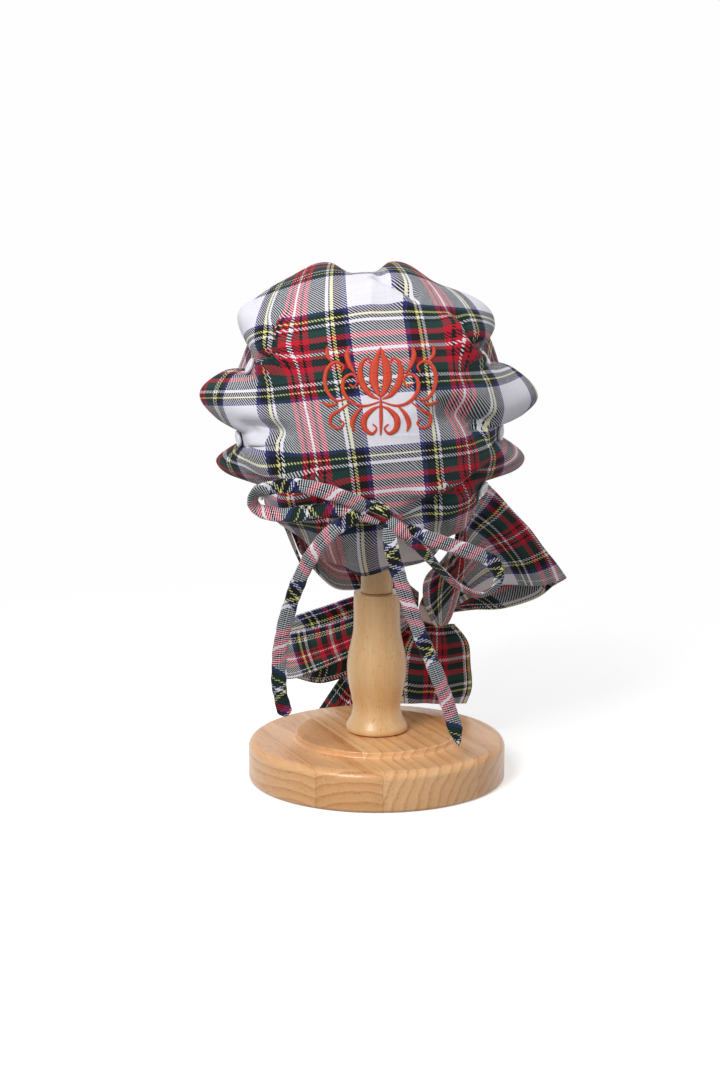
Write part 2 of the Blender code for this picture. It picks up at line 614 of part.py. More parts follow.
for name, side in CHIN_SEWN.items():
    sewn = [(brim_inside(side * CHIN_SEWN_LOW, across), brim_inside(side * CHIN_SEWN_HIGH, across))
            for across in (CHIN_SEWN_START, CHIN_SEWN_END)]
    CHIN_TIES[name] = tuple(sewn) + CHIN_TIES[name]
for name, rows in CHIN_TIES.items():
    strap(name, rows, 3, 20 if "loop" in name else 10, 0.0 if "strap" in name else 0.02, tartan)
knot("chin_knot", CHIN_KNOT, (CHIN_KNOT_SIZE * 0.50, CHIN_KNOT_SIZE * 0.37, CHIN_KNOT_SIZE * 0.565), 20, tartan)
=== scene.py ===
# A baby's tartan bonnet on a turned wooden stand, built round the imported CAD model.
# Metres. The bonnet's back faces -Y, its face opening +Y, and the stand's underside is z = 0.
import bisect
import math

import bpy
import numpy as np
from mathutils import Matrix, Vector
from mathutils.bvhtree import BVHTree


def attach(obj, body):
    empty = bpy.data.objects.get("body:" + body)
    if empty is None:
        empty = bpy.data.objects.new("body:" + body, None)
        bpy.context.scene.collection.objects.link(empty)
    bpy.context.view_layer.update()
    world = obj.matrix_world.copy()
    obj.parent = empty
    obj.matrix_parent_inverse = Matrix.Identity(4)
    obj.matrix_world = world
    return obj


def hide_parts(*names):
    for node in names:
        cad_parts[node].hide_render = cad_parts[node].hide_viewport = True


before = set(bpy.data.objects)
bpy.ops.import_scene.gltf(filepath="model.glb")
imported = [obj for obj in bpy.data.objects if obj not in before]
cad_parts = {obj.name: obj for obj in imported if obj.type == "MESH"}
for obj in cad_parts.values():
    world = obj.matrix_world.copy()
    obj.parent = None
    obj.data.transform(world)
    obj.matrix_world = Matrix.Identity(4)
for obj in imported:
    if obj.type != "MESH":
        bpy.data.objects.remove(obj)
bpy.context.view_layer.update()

# The camera stands behind the bonnet, 1.6 m from it, and looks a little down on the stand.
CAMERA_TILT = math.radians(11.0)
CAMERA_DISTANCE = 1.600
CAMERA_TARGET = Vector((-0.0116, 0.0, 0.1671))
FILM_HEIGHT = 36.0
FOCAL_SHARE = 2337.0 / 1080.0


def put(name, data):
    """An object of the scene, made from its mesh, curves, lens or lamp."""
    made = bpy.data.objects.new(name, data)
    bpy.context.scene.collection.objects.link(made)
    return made


camera_lens = bpy.data.cameras.new("camera")
camera_lens.sensor_fit = "VERTICAL"
camera_lens.sensor_height = FILM_HEIGHT
camera_lens.lens = FOCAL_SHARE * FILM_HEIGHT
camera = put("camera", camera_lens)
looking = Vector((0.0, math.cos(CAMERA_TILT), -math.sin(CAMERA_TILT)))
camera.location = CAMERA_TARGET - looking * CAMERA_DISTANCE
camera.rotation_euler = (math.pi / 2 - CAMERA_TILT, 0.0, 0.0)
bpy.context.scene.camera = camera


# The stand's base: a thick round board glued up from four staves of orange-brown hardwood, with
# a low disc on top of it. It is turned in one go, sanded round at the rim and lacquered satin.
BASE_RADIUS = 0.089
BASE_THICKNESS = 0.028
BASE_TOP_ROUND = 0.006
BASE_FOOT_ROUND = 0.0025
STEP_RADIUS = 0.0565
STEP_HEIGHT = 0.0045
STEP_ROUND = 0.0012
STEP_COVE = 0.0016
STEP_TOP = BASE_THICKNESS + STEP_HEIGHT
BASE_SEGMENTS = 192
STAVE_TURN = math.radians(22.5)
STAVE_JOINTS = (-0.0680, -0.0307, 0.0408)
BASE_TONES = ("F2CC9C", "E4AC73", "CB8847", "A8652C")


class Wire:
    """A socket of a material. Sums written on it become Math nodes."""

    def __init__(self, socket):
        self.socket = socket

    def node(self, kind, settings, inputs, output=0):
        """Any other node: its settings first, then the values or wires of its sockets."""
        tree = self.socket.id_data
        made = tree.nodes.new("ShaderNode" + kind)
        for name, value in settings.items():
            if name == "stops":
                stops = made.color_ramp.elements
                stops.remove(stops[1])
                stops[0].position, stops[0].color = value[0]
                for at, colour in value[1:]:
                    stops.new(at).color = colour
            elif name == "between":
                made.color_ramp.interpolation = value
            else:
                setattr(made, name, value)
        for name, value in inputs.items():
            if isinstance(value, Wire):
                tree.links.new(value.socket, made.inputs[name])
            else:
                made.inputs[name].default_value = value
        return Wire(made.outputs[output])

    def beside(self, output):
        """Another output of the same node."""
        return Wire(self.socket.node.outputs[output])

    def sums(self, operation, *values):
        return self.node("Math", {"operation": operation}, dict(enumerate(values)))

    def __add__(self, other):
        return self.sums("ADD", self, other)

    __radd__ = __add__

    def __sub__(self, other):
        return self.sums("SUBTRACT", self, other)

    def __rsub__(self, other):
        return self.sums("SUBTRACT", other, self)

    def __mul__(self, other):
        return self.sums("MULTIPLY", self, other)

    __rmul__ = __mul__

    def __truediv__(self, other):
        return self.sums("DIVIDE", self, other)

    def __gt__(self, other):
        return self.sums("GREATER_THAN", self, other)

    def __lt__(self, other):
        return self.sums("LESS_THAN", self, other)

    def at_most(self, other):
        return self.sums("MINIMUM", self, other)

    def whole(self):
        return self.sums("FLOOR", self)

    def rest(self):
        return self.sums("FRACT", self)

    def ramp(self, stops, between="LINEAR"):
        return self.node("ValToRGB", {"between": between, "stops": stops}, {0: self})

    def place(self):
        """Where the shader stands on the object, in metres."""
        return self.node("TexCoord", {}, {}, "Object")

    def chart(self, name):
        """The first part of a map's spot; the second is beside it."""
        return self.node("UVMap", {"uv_map": name}, {}).parts()

    def parts(self):
        return self.node("SeparateXYZ", {}, {0: self})

    def scaled(self, by):
        return self.node("VectorMath", {"operation": "MULTIPLY"}, {0: self, 1: by})

    def noise(self, scale, detail=2.0, rough=0.5):
        """Noise over these places."""
        return self.node("TexNoise", {}, {
            "Vector": self, "Scale": scale, "Detail": detail, "Roughness": rough})

    def chance(self):
        """A number of its own for each number."""
        return self.node("TexWhiteNoise", {"noise_dimensions": "1D"}, {"W": self})

    def share(self, low, high):
        """How far between low and high, from 0 to 1."""
        return self.node("MapRange", {}, {"Value": self, "From Min": low, "From Max": high})

    def pressed(self, strength, distance, **over):
        """A bump of this height, over another one where it is given as Normal."""
        return self.node("Bump", {}, {"Strength": strength, "Distance": distance, "Height": self} | over)

    def mixed(self, factor, other, way="MIX"):
        """This colour mixed with another one."""
        return self.node("Mix", {"data_type": "RGBA", "blend_type": way}, {0: factor, 6: self, 7: other}, 2)


def dye(code):
    """A colour from its six-figure code, as the shader takes it."""
    parts = [int(code[at:at + 2], 16) / 255 for at in (0, 2, 4)]
    linear = [part / 12.92 if part <= 0.04045 else ((part + 0.055) / 1.055) ** 2.4 for part in parts]
    return (*linear, 1.0)


def grey(value):
    return (value, value, value, 1.0)


def new_look(name, constants):
    """A material with the settings that are the same all over, and a wire of it to start from."""
    look = bpy.data.materials.new(name)
    look.use_nodes = True
    shader = look.node_tree.nodes["Principled BSDF"]
    for socket, value in constants.items():
        shader.inputs[socket].default_value = value
    return look, Wire(shader.outputs[0])


def coat(look, colour, rough=None, normal=None, glow=None):
    """Feeds what changes over the surface to the material's shader."""
    shader = look.node_tree.nodes["Principled BSDF"]
    wires = {"Base Color": colour, "Roughness": rough, "Normal": normal, "Emission Color": glow}
    for socket, wire in wires.items():
        if wire:
            look.node_tree.links.new(wire.socket, shader.inputs[socket])
    return look


def fit(piece, node=None):
    """Every piece rides on the one body; where it stands for a CAD node, that node is hidden."""
    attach(piece, "root")
    if node:
        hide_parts(node)


def object_mesh(name, points, faces, look):
    mesh = bpy.data.meshes.new(name)
    mesh.from_pydata([tuple(point) for point in points], [], faces)
    mesh.update()
    mesh.materials.append(look)
    mesh.polygons.foreach_set("use_smooth", [True] * len(mesh.polygons))
    return put(name, mesh)


def arc(centre_r, centre_z, radius, start, end, count):
    """Points of a rounded edge in a turned profile, angles in degrees from +r towards +z."""
    turns = [math.radians(start + (end - start) * index / count) for index in range(count + 1)]
    return [(centre_r + radius * math.cos(turn), centre_z + radius * math.sin(turn)) for turn in turns]


def turned(name, profile, segments, look, closed=True):
    """A profile of (radius, height) from the top of the axis round to its foot, spun about Z."""
    ring = profile[1:-1] if closed else profile[1:]
    points = [(0.0, 0.0, profile[0][1])]
    for radius, height in ring:
        for index in range(segments):
            turn = math.tau * index / segments
            points.append((radius * math.cos(turn), radius * math.sin(turn), height))
    if closed:
        points.append((0.0, 0.0, profile[-1][1]))
    faces = []
    for index in range(segments):
        following = (index + 1) % segments
        faces.append((0, 1 + index, 1 + following))
        for row in range(len(ring) - 1):
            here = 1 + row * segments
            below = here + segments
            faces.append((here + index, below + index, below + following, here + following))
        if closed:
            last = 1 + (len(ring) - 1) * segments
            faces.append((last + index, len(points) - 1, last + following))
    return object_mesh(name, points, faces, look)


def stave_wood():
    look, start = new_look("base_staves", {
        "Coat Weight": 0.35, "Coat Roughness": 0.22, "Specular IOR Level": 0.45})
    place = start.place()
    board = place.node("VectorRotate", {"rotation_type": "Z_AXIS"}, {"Vector": place, "Angle": -STAVE_TURN})
    across = board.parts()
    stave = (across > STAVE_JOINTS[0]) + (across > STAVE_JOINTS[1]) + (across > STAVE_JOINTS[2])
    # each stave's pith: how far beside the middle and how far under the board it lay in the log
    pith = (stave / 4.0 + 0.1).ramp([
        (0.0, (0.1, 0.3, 0.45, 1.0)), (0.25, (0.28, 0.62, 0.72, 1.0)),
        (0.5, (0.86, 0.4, 0.18, 1.0)), (0.75, (0.95, 0.7, 0.62, 1.0))], "CONSTANT").parts()
    beside = across - (pith * 0.20 - 0.10)
    under = across.beside(2) + pith.beside(1) * 0.050
    from_pith = beside * beside + under * under
    stretched = board.scaled((1.0, 0.10, 1.0))
    ring = from_pith.sums("SQRT", from_pith) + stretched.noise(26.0, 3.0, 0.55) * 0.016
    late = (ring * 150.0).rest().ramp([
        (0.0, grey(0.15)), (0.55, grey(0.42)), (0.88, grey(1.0)), (1.0, grey(0.15))])
    fine = stretched.noise(420.0, 4.0, 0.7)
    tone = late * 0.36 + fine * 0.34 + stretched.noise(18.0) * 0.42 + pith.beside(2) * 0.30 - 0.22
    colour = tone.ramp([(at, dye(code)) for at, code in zip((0.05, 0.40, 0.74, 1.0), BASE_TONES)])
    pore = (stretched.noise(900.0, 1.0) > 0.66) * (late * 0.5 + 0.3)
    colour = colour.mixed(pore * 0.55, dye("6E3A1C"))
    gaps = [place.sums("ABSOLUTE", across - joint) for joint in STAVE_JOINTS]
    glue = gaps[0].at_most(gaps[1]).at_most(gaps[2])
    colour = colour.mixed((glue < 0.00025) * 0.28, dye("7A4320"))
    return coat(look, colour, fine * 0.16 + 0.28, (fine * 0.5 - pore * 0.7).pressed(0.18, 0.0003))


base_profile = [(0.0, STEP_TOP), (STEP_RADIUS * 0.5, STEP_TOP)]
base_profile += arc(STEP_RADIUS - STEP_ROUND, STEP_TOP - STEP_ROUND, STEP_ROUND, 90, 0, 6)
for turn in (0.25, 0.7, 1.1, 1.5):
    cove = STEP_RADIUS + STEP_COVE * (1 - math.cos(turn)), BASE_THICKNESS + STEP_COVE * (1 - math.sin(turn))
    base_profile.append(cove)
base_profile += [(BASE_RADIUS * 0.8, BASE_THICKNESS)]
base_profile += arc(BASE_RADIUS - BASE_TOP_ROUND, BASE_THICKNESS - BASE_TOP_ROUND, BASE_TOP_ROUND, 90, 0, 12)
base_profile += arc(BASE_RADIUS - BASE_FOOT_ROUND, BASE_FOOT_ROUND, BASE_FOOT_ROUND, 0, -90, 6)
base_profile += [(BASE_RADIUS * 0.5, 0.0), (0.0, 0.0)]
fit(turned("round_base", base_profile, BASE_SEGMENTS, stave_wood()), "stand_base")


# The post: one baluster turned from pale maple, glued into the base, sanded and lacquered satin.
# Its long grain runs up the post, with the short dark flecks that maple has.
POST_HEIGHT = 0.098
POST_RADIUS = 0.0208
POST_SEGMENTS = 96
POST_SHAPE = (
    (0.975, 0.0), (1.0, 0.006), (1.022, 0.014), (1.028, 0.028), (1.012, 0.044), (0.96, 0.062),
    (0.9, 0.082), (0.835, 0.115), (0.793, 0.155), (0.798, 0.195), (0.835, 0.245), (0.89, 0.293),
    (0.94, 0.345), (0.982, 0.4), (1.0, 0.455), (0.986, 0.51), (0.95, 0.56), (0.902, 0.605),
    (0.85, 0.65), (0.812, 0.69), (0.786, 0.725), (0.775, 0.762), (0.772, 0.8), (0.77, 0.9),
    (0.769, 0.99), (0.769, 0.999), (0.73, 1.0),
)
FACE_GAP = 0.0004


def maple():
    look, start = new_look("post_maple", {
        "Coat Weight": 0.25, "Coat Roughness": 0.28, "Specular IOR Level": 0.42})
    place = start.place()
    upright = place.scaled((1.0, 1.0, 0.06))
    fine = upright.noise(650.0, 3.0, 0.65)
    tone = upright.noise(60.0, 3.0, 0.6) * 0.75 + fine * 0.40 - 0.10
    colour = tone.ramp([(0.10, dye("EBCB9C")), (0.50, dye("DDB17A")), (0.95, dye("C18F55"))])
    fleck = place.scaled((1.0, 1.0, 0.30)).noise(900.0, 0.0).share(0.70, 0.78)
    colour = colour.mixed(fleck * 0.32, dye("9A6433"))
    return coat(look, colour, fine * 0.14 + 0.30, fine.pressed(0.12, 0.0002))


post_foot = STEP_TOP + FACE_GAP
post_profile = [(0.0, post_foot + POST_HEIGHT)]
post_profile += [(wide * POST_RADIUS, post_foot + high * POST_HEIGHT) for wide, high in reversed(POST_SHAPE)]
post_profile += [(0.0, post_foot)]
post_look = maple()
post = turned("turned_post", post_profile, POST_SEGMENTS, post_look)
post.modifiers.new("round", "SUBSURF").render_levels = 1
fit(post, "stand_post")

# The plain dowel with its round knob stands on the post inside the bonnet and carries it. It is
# the CAD's own piece, in the same turned maple.
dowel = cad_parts["support_dowel"]
dowel.data.materials.clear()
dowel.data.materials.append(post_look)


# The cloth of the whole bonnet: a cotton twill, dyed in the yarn and woven two over two under in
# a red, green and black tartan on white. It is cut double, seamed inside out and turned.
THREAD = 0.00052
TARTAN_DYES = {
    "white": "ECEAF3", "navy": "2C3170", "black": "15171B", "yellow": "EBE893", "green": "203E3A",
    "red": "C21830",
}
# Half of each stripe order, from the middle of a white band to the middle of the red one; mm
WARP_STRIPES = (
    ("white", 16.4), ("navy", 3.3), ("black", 5.8), ("yellow", 2.05), ("black", 1.0),
    ("white", 2.1), ("green", 11.6), ("red", 3.45), ("black", 1.4), ("red", 3.45), ("white", 0.6),
)
WEFT_STRIPES = (
    ("white", 16.35), ("navy", 2.2), ("black", 3.05), ("yellow", 1.5), ("black", 2.8), ("white", 1.8),
    ("black", 2.45), ("green", 4.65), ("red", 3.65), ("black", 4.55), ("red", 2.15), ("white", 1.1),
)


def half_order(stripes):
    return sum(width for _, width in stripes) / 1000.0


def twill_look(name, stitched):
    """Tartan twill on the map "cloth" (metres of warp and weft); "seam" is (from, along) the edge."""
    look, start = new_look(name, {"Sheen Weight": 0.05, "Sheen Roughness": 0.45, "Specular IOR Level": 0.15})
    cloth = start.chart("cloth")
    sides = []
    for run, stripes in ((cloth / THREAD, WARP_STRIPES), (cloth.beside(1) / THREAD, WEFT_STRIPES)):
        number = run.whole()
        half = half_order(stripes)
        order = number.sums("PINGPONG", (number + 0.5) * THREAD, half) / half
        stops, at = [], 0.0
        for shade, width in stripes:
            stops.append((at, dye(TARTAN_DYES[shade])))
            at += width / 1000.0 / half
        sides.append((number, run.rest(), order.ramp(stops, "CONSTANT"), number.chance()))
    (warp, warp_in, warp_colour, warp_slub), (weft, weft_in, weft_colour, weft_slub) = sides
    step = warp.sums("FLOORED_MODULO", warp + weft, 4.0)
    # where a dark yarn crosses a light one its floats are drawn a little longer, which paints shade between
    # yarns of different colours
    warp_light, weft_light = (shade.node("RGBToBW", {}, {0: shade})
                              for shade in (warp_colour, weft_colour))
    over = (step + weft_in) < 2.0 + (weft_light - warp_light) * 0.90
    round_warp, round_weft = (1.0 - (inside - 0.5) * (inside - 0.5) * 3.6
                              for inside in (warp_in, weft_in))
    float_warp = step.sums("SINE", (step + weft_in) * (math.pi / 2))
    float_weft = step.sums("SINE", (step - 2.0 + warp_in) * (math.pi / 2))
    thread_height = over * round_warp * float_warp + (1.0 - over) * round_weft * float_weft
    slub = over * warp_slub + (1.0 - over) * weft_slub
    place = start.place()
    mottle = place.noise(55.0, 4.0, 0.6)
    # painted shade between the yarns: the colour darkens where each yarn rounds off and dips under
    # (thread_height), together with the yarns' own slub and a mottled tone
    light = thread_height * 0.30 + slub * 0.08 + mottle * 0.16 + 0.62
    lit = light.node("CombineXYZ", {}, {0: light, 1: light, 2: light})
    colour = weft_colour.mixed(over, warp_colour).mixed(1.0, lit, "MULTIPLY")
    inward = start.chart("seam")
    worn = inward.share(0.0009, 0.0001)
    colour = colour.mixed(worn * (mottle * 0.35 + 0.05), dye("C9C4C6"))
    relief = thread_height * 0.55
    if stitched:
        on_line = inward.sums("ABSOLUTE", inward - 0.0042) < 0.00028
        stitch = on_line * ((inward.beside(1) / 0.0027).rest() < 0.74)
        colour = colour.mixed(stitch * 0.85, dye("E8E6EA"))
        relief = relief + stitch * 1.1 - (on_line * (1.0 - stitch)) * 0.9
    crease = place.noise(34.0, 3.0).pressed(0.35, 0.004)
    return coat(look, colour, 0.92 - thread_height * 0.14, relief.pressed(0.35, 0.00022, Normal=crease))


def closed_cloth(name, surface, cloth, seam, thickness, look, ring=False, capped=False):
    """A shell of cloth round a grid of middle points (rows, columns, 3). thickness is a grid too,
    0 along the free edges, where both faces meet; ring joins the last row to the first, and
    capped closes the first column to a point."""
    rows, columns = surface.shape[:2]
    if ring:
        by_row = np.roll(surface, -1, axis=0) - np.roll(surface, 1, axis=0)
    else:
        by_row = np.gradient(surface, axis=0)
    by_column = np.gradient(surface, axis=1)
    normal = np.cross(by_row, by_column)
    normal /= np.maximum(np.linalg.norm(normal, axis=2, keepdims=True), 1e-12)
    if capped:
        middle = normal[:, 1].mean(axis=0)
        normal[:, 0] = middle / np.linalg.norm(middle)
    offset = normal * (thickness / 2)[:, :, None]
    count = rows * columns
    points = np.concatenate([(surface + offset).reshape(-1, 3), (surface - offset).reshape(-1, 3)])
    open_edge = (thickness < 1e-7).reshape(-1)
    own = np.arange(2 * count)
    own[count:][open_edge] = np.arange(count)[open_edge]
    here = np.arange(rows if ring else rows - 1)[:, None]
    there = (here + 1) % rows
    column = np.arange(columns - 1)[None, :]
    quads = np.stack([here * columns + column, there * columns + column,
                      there * columns + column + 1, here * columns + column + 1], axis=2).reshape(-1, 4)
    faces = [tuple(quad) for quad in own[quads].tolist()]
    faces += [tuple(reversed(quad)) for quad in own[quads + count].tolist()]
    if capped:
        hub = surface[:, 0].mean(axis=0)
        points = np.concatenate([points, [hub + offset[0, 0], hub - offset[0, 0]]])
        for index in range(rows):
            following = (index + 1) % rows
            faces.append((2 * count, following * columns, index * columns))
            faces.append((2 * count + 1, count + index * columns, count + following * columns))
    used, fresh = np.unique(np.concatenate([np.array(face) for face in faces]), return_inverse=True)
    lengths = [len(face) for face in faces]
    starts = np.concatenate([[0], np.cumsum(lengths)[:-1]])
    tidy = [tuple(fresh[start:start + length].tolist()) for start, length in zip(starts, lengths)]
    made = object_mesh(name, points[used], tidy, look)
    for title, grid in (("cloth", cloth), ("seam", seam)):
        flat = grid.reshape(-1, 2)
        values = np.concatenate([flat, flat])
        if capped:
            middle = grid[:, 0].mean(axis=0)
            values = np.concatenate([values, [middle, middle]])
        layer = made.data.uv_layers.new(name=title)
        corners = np.empty(len(made.data.loops), dtype=np.int32)
        made.data.loops.foreach_get("vertex_index", corners)
        layer.data.foreach_set("uv", values[used][corners].astype(np.float32).reshape(-1))
    return made


def lengths_along(grid, axis):
    """How far each point lies along its row or column of points, in metres."""
    steps = np.linalg.norm(np.diff(grid, axis=axis), axis=2)
    pad = [(0, 0), (0, 0)]
    pad[axis] = (1, 0)
    return np.pad(np.cumsum(steps, axis=axis), pad)


def rounded(distance, radius):
    """A folded edge's share of the full thickness, a half circle that starts at the edge."""
    share = np.clip(distance / radius, 0.0, 1.0)
    return np.sqrt(np.clip(1.0 - (1.0 - share) ** 2, 0.0, 1.0))


def edge_steps(count, length, radius):
    """Shares from 0 to 1 with three extra steps near each end, for its rounded edge."""
    near = [0.0, 0.10 * radius / length, 0.38 * radius / length, radius / length]
    middle = np.linspace(0.0, 1.0, count)
    middle = middle[(middle > 1.6 * radius / length) & (middle < 1.0 - 1.6 * radius / length)]
    return np.concatenate([near, middle, [1.0 - step for step in reversed(near)]])


def from_edges(long, wide):
    """How far each point of a grid lies from the nearest free edge."""
    return np.minimum(np.minimum(wide, wide[:, -1:] - wide), np.minimum(long, long[-1:] - long))


def hermite(start, end, slope_in, slope_out, t):
    """From one value to the next with these slopes at its ends, t from 0 to 1."""
    return (start * (2 * t**3 - 3 * t**2 + 1) + slope_in * (t**3 - 2 * t**2 + t)
            + end * (3 * t**2 - 2 * t**3) + slope_out * (t**3 - t**2))


def curve_through(rows, position):
    """Catmull-Rom through rows of numbers, position 0 at the first row and 1 at the last."""
    spot = max(0.0, min(1.0, position)) * (len(rows) - 1)
    index = min(int(spot), len(rows) - 2)
    near = (rows[max(0, min(len(rows) - 1, index + shift))] for shift in (-1, 0, 1, 2))
    return [hermite(b, c, (c - a) / 2, (d - b) / 2, spot - index) for a, b, c, d in zip(*near)]


def way_along(rows, position, step):
    """Which way the curve through the rows runs at a position, as the step across it."""
    ahead, behind = (curve_through(rows, max(0.0, min(1.0, position + by)))[:3] for by in (step, -step))
    return Vector(ahead) - Vector(behind)


# The brim: a double band of the tartan round the head, cut straight and flared forwards, with a
# turned front edge stitched down. The crown is buttoned to its back edge.
PANEL_OFFSET = -0.0055
PANEL_HEIGHT = 0.252
BRIM_HALF_WIDTH = 0.0835
BRIM_RISE = 0.074
BRIM_FORWARD = 0.097
BRIM_HOLLOW = 0.030
BRIM_LEAN = 0.0065
CLOTH = 0.0016
# Stations from the top down one side: half-width, height, depth at the back and at the front edge
BRIM_ROWS = (
    (0.0, 1.0, -0.18, 0.0, 1.2, 1.0), (0.4, 0.934, -0.18, 0.5, 1.1, 1.01),
    (0.67, 0.765, -0.18, 0.9, 0.8, 1.02), (0.85, 0.53, -0.19, 1.09, 0.38, 1.01),
    (0.98, 0.16, -0.21, 1.17, -0.08, 0.98), (0.968, -0.22, -0.23, 1.04, -0.56, 0.9),
    (0.82, -0.56, -0.26, 0.83, -1.02, 0.78), (0.79, -0.87, -0.24, 0.64, -1.55, 0.545),
)
BRIM_GRAIN = (0.026, 0.034)
BRIM_FLARE = 1.15
# Rows of points round and across, and the rough length that they are spread over
BRIM_STEPS = ((300, 0.56), (70, 0.105))
BRIM_RIPPLE = 0.0011


def brim_point(around, across):
    """Point of the brim's middle surface: around -1 to 1 corner to corner, across back to front."""
    row = curve_through(BRIM_ROWS, abs(around))
    side = -1.0 if around < 0 else 1.0
    blend = across**BRIM_FLARE
    hollow = 1.0 - BRIM_HOLLOW * math.sin(math.pi * across)
    half = (row[0] + (row[3] - row[0]) * blend) * hollow
    high = (row[1] + (row[4] - row[1]) * blend) * (hollow if row[1] > 0 else 1.0)
    deep = row[2] + (row[5] - row[2]) * across
    drop = max(0.0, high / BRIM_ROWS[-1][4])
    return (PANEL_OFFSET + BRIM_LEAN * drop + side * half * BRIM_HALF_WIDTH,
            deep * BRIM_FORWARD, PANEL_HEIGHT + high * BRIM_RISE)


tartan_plain = twill_look("tartan_twill", False)
tartan_stitched = twill_look("tartan_twill_stitched", True)
brim_around, brim_across = (edge_steps(count, length, CLOTH / 2) for count, length in BRIM_STEPS)
brim_grid = np.array([[brim_point(2 * a - 1, b) for b in brim_across] for a in brim_around])
brim_long = lengths_along(brim_grid, 0)
brim_wide = lengths_along(brim_grid, 1)
brim_run = brim_long[:, :1]
brim_wave = np.sin(brim_run * 95.0 + 1.4 * np.sin(brim_run * 31.0)) * (brim_across**2)[None, :] * BRIM_RIPPLE
brim_out = brim_grid - np.array((PANEL_OFFSET, 0.0, PANEL_HEIGHT))
brim_out[:, :, 1] = 0.0
brim_out /= np.linalg.norm(brim_out, axis=2, keepdims=True)
brim_grid = brim_grid + brim_out * brim_wave[:, :, None]
brim_top = brim_long[len(brim_around) // 2]
brim_cloth = np.stack([brim_long - brim_top + BRIM_GRAIN[0], brim_wide + BRIM_GRAIN[1]], axis=2)
brim_seam = np.stack([brim_wide[:, -1:] - brim_wide, brim_long], axis=2)
brim = closed_cloth("brim_band", brim_grid, brim_cloth, brim_seam,
                    CLOTH * rounded(from_edges(brim_long, brim_wide), CLOTH / 2), tartan_stitched)
fit(brim, "brim")


# The crown: one piece of the tartan, cut double with a scalloped edge, that buttons over the
# brim. The cloth puffs into petals between its buttons; a casing gathers it at the nape, and
# the hem below hangs as a soft ruffle.
CROWN_REACH = 0.087
CROWN_DEPTH = 0.082
# Edge point by edge point round the panel's middle: angle; edge reach, edge depth, pull reach,
# pull depth; 1 where a button turns the cloth sharply
CROWN_ROWS = (
    (-4.7, 1.005, 0.045, 1.05, -0.68, 1), (1.0, 1.19, 0.01, 1.03, -0.64, 0),
    (7.5, 1.318, -0.02, 0.99, -0.64, 0), (18.0, 1.19, 0.02, 1.01, -0.64, 0),
    (29.0, 0.985, 0.05, 1.06, -0.68, 1), (35.6, 1.19, 0.06, 1.08, -0.64, 0),
    (43.5, 1.245, 0.07, 1.13, -0.64, 0), (63.0, 1.15, 0.11, 1.2, -0.62, 0),
    (82.0, 1.2, 0.13, 1.23, -0.62, 0), (92.7, 0.935, 0.19, 1.56, -0.5, 1),
    (104.0, 1.215, 0.13, 1.25, -0.62, 0), (120.0, 1.235, 0.11, 1.2, -0.62, 0),
    (133.5, 1.265, 0.07, 1.13, -0.64, 0), (142.0, 1.285, 0.06, 1.06, -0.64, 0),
    (154.7, 0.985, 0.05, 1.06, -0.68, 1), (163.0, 1.19, 0.02, 1.01, -0.64, 0),
    (171.8, 1.325, -0.02, 0.99, -0.64, 0), (180.0, 1.19, 0.01, 1.03, -0.64, 0),
    (187.5, 1.005, 0.045, 1.04, -0.68, 1), (196.0, 1.235, -0.06, 1.0, -0.7, 0),
    (212.0, 0.985, -0.19, 1.04, -0.76, 1), (218.0, 1.01, -0.37, 0.96, -0.8, 0),
    (224.0, 1.02, -0.44, 0.92, -0.8, 0), (231.0, 1.025, -0.5, 0.86, -0.79, 0),
    (246.0, 1.065, -0.64, 0.83, -0.78, 0), (264.0, 1.135, -0.71, 0.83, -0.78, 0),
    (278.0, 1.14, -0.725, 0.83, -0.78, 0), (293.5, 1.12, -0.65, 0.83, -0.78, 0),
    (306.0, 1.085, -0.56, 0.85, -0.78, 0), (317.0, 1.07, -0.45, 0.92, -0.8, 0),
    (323.5, 1.045, -0.37, 0.96, -0.8, 0), (330.0, 1.005, -0.19, 1.04, -0.76, 1),
    (345.0, 1.25, -0.06, 1.0, -0.7, 0),
)
# Folds: angle, angle width, share along the spoke, share width, depth as a share of CROWN_DEPTH
CROWN_FOLDS = (
    (20.0, 8.0, 0.66, 0.18, -0.035), (174.0, 9.0, 0.66, 0.15, -0.03), (203.0, 9.0, 0.7, 0.17, 0.04),
    (338.0, 9.0, 0.7, 0.17, 0.04),
)
# Creases, where the cloth is pulled in sharply beside a button: a line on the flat cloth in mm,
# whose left side stands up as a lip; then half width, depth, the lip's height and its lean, in mm
CROWN_CREASES = (
    (((-73.7, 88.0), (-67.0, 68.0), (-63.0, 54.0), (-76.9, 47.5), (-100.0, 49.0)), 6.0, 13.0, 6.0, 6.0),
    (((112.0, 60.0), (92.0, 58.0), (75.4, 60.0), (67.8, 72.7), (62.5, 90.0)), 6.5, 12.0, 5.5, 5.0),
    (((38.0, 22.0), (59.5, 15.9), (77.4, 8.4), (98.0, -3.0)), 9.0, 12.0, 2.5, 0.0),
    (((-46.0, -3.0), (-68.7, -4.4), (-82.7, -5.0), (-101.0, -9.0)), 8.0, 7.0, 3.0, 2.5),
    (((38.0, 92.0), (24.0, 102.5), (11.0, 109.5), (-1.0, 118.0)), 6.5, 9.0, 3.0, 3.0),
    (((-98.0, -43.0), (-76.0, -35.5), (-46.5, -35.0), (-14.0, -46.0)), 6.0, 6.5, 4.0, 4.0),
    (((18.0, -50.0), (47.4, -44.0), (72.4, -37.5), (94.0, -28.0)), 6.0, 5.5, 2.0, 1.5),
)
BUTTON_FLAT = 3.6
# The gathered nape: its middle and half its width in degrees, its casing's place and depth
NAPE_MIDDLE = 271.5
NAPE_HALF = 43.0
CASING_SHARE = 0.580
CASING_PINCH = 0.070
RUFFLE_WAVES = 17.0
RUFFLE_SWING = 0.042
HEM_TUCK = 0.20
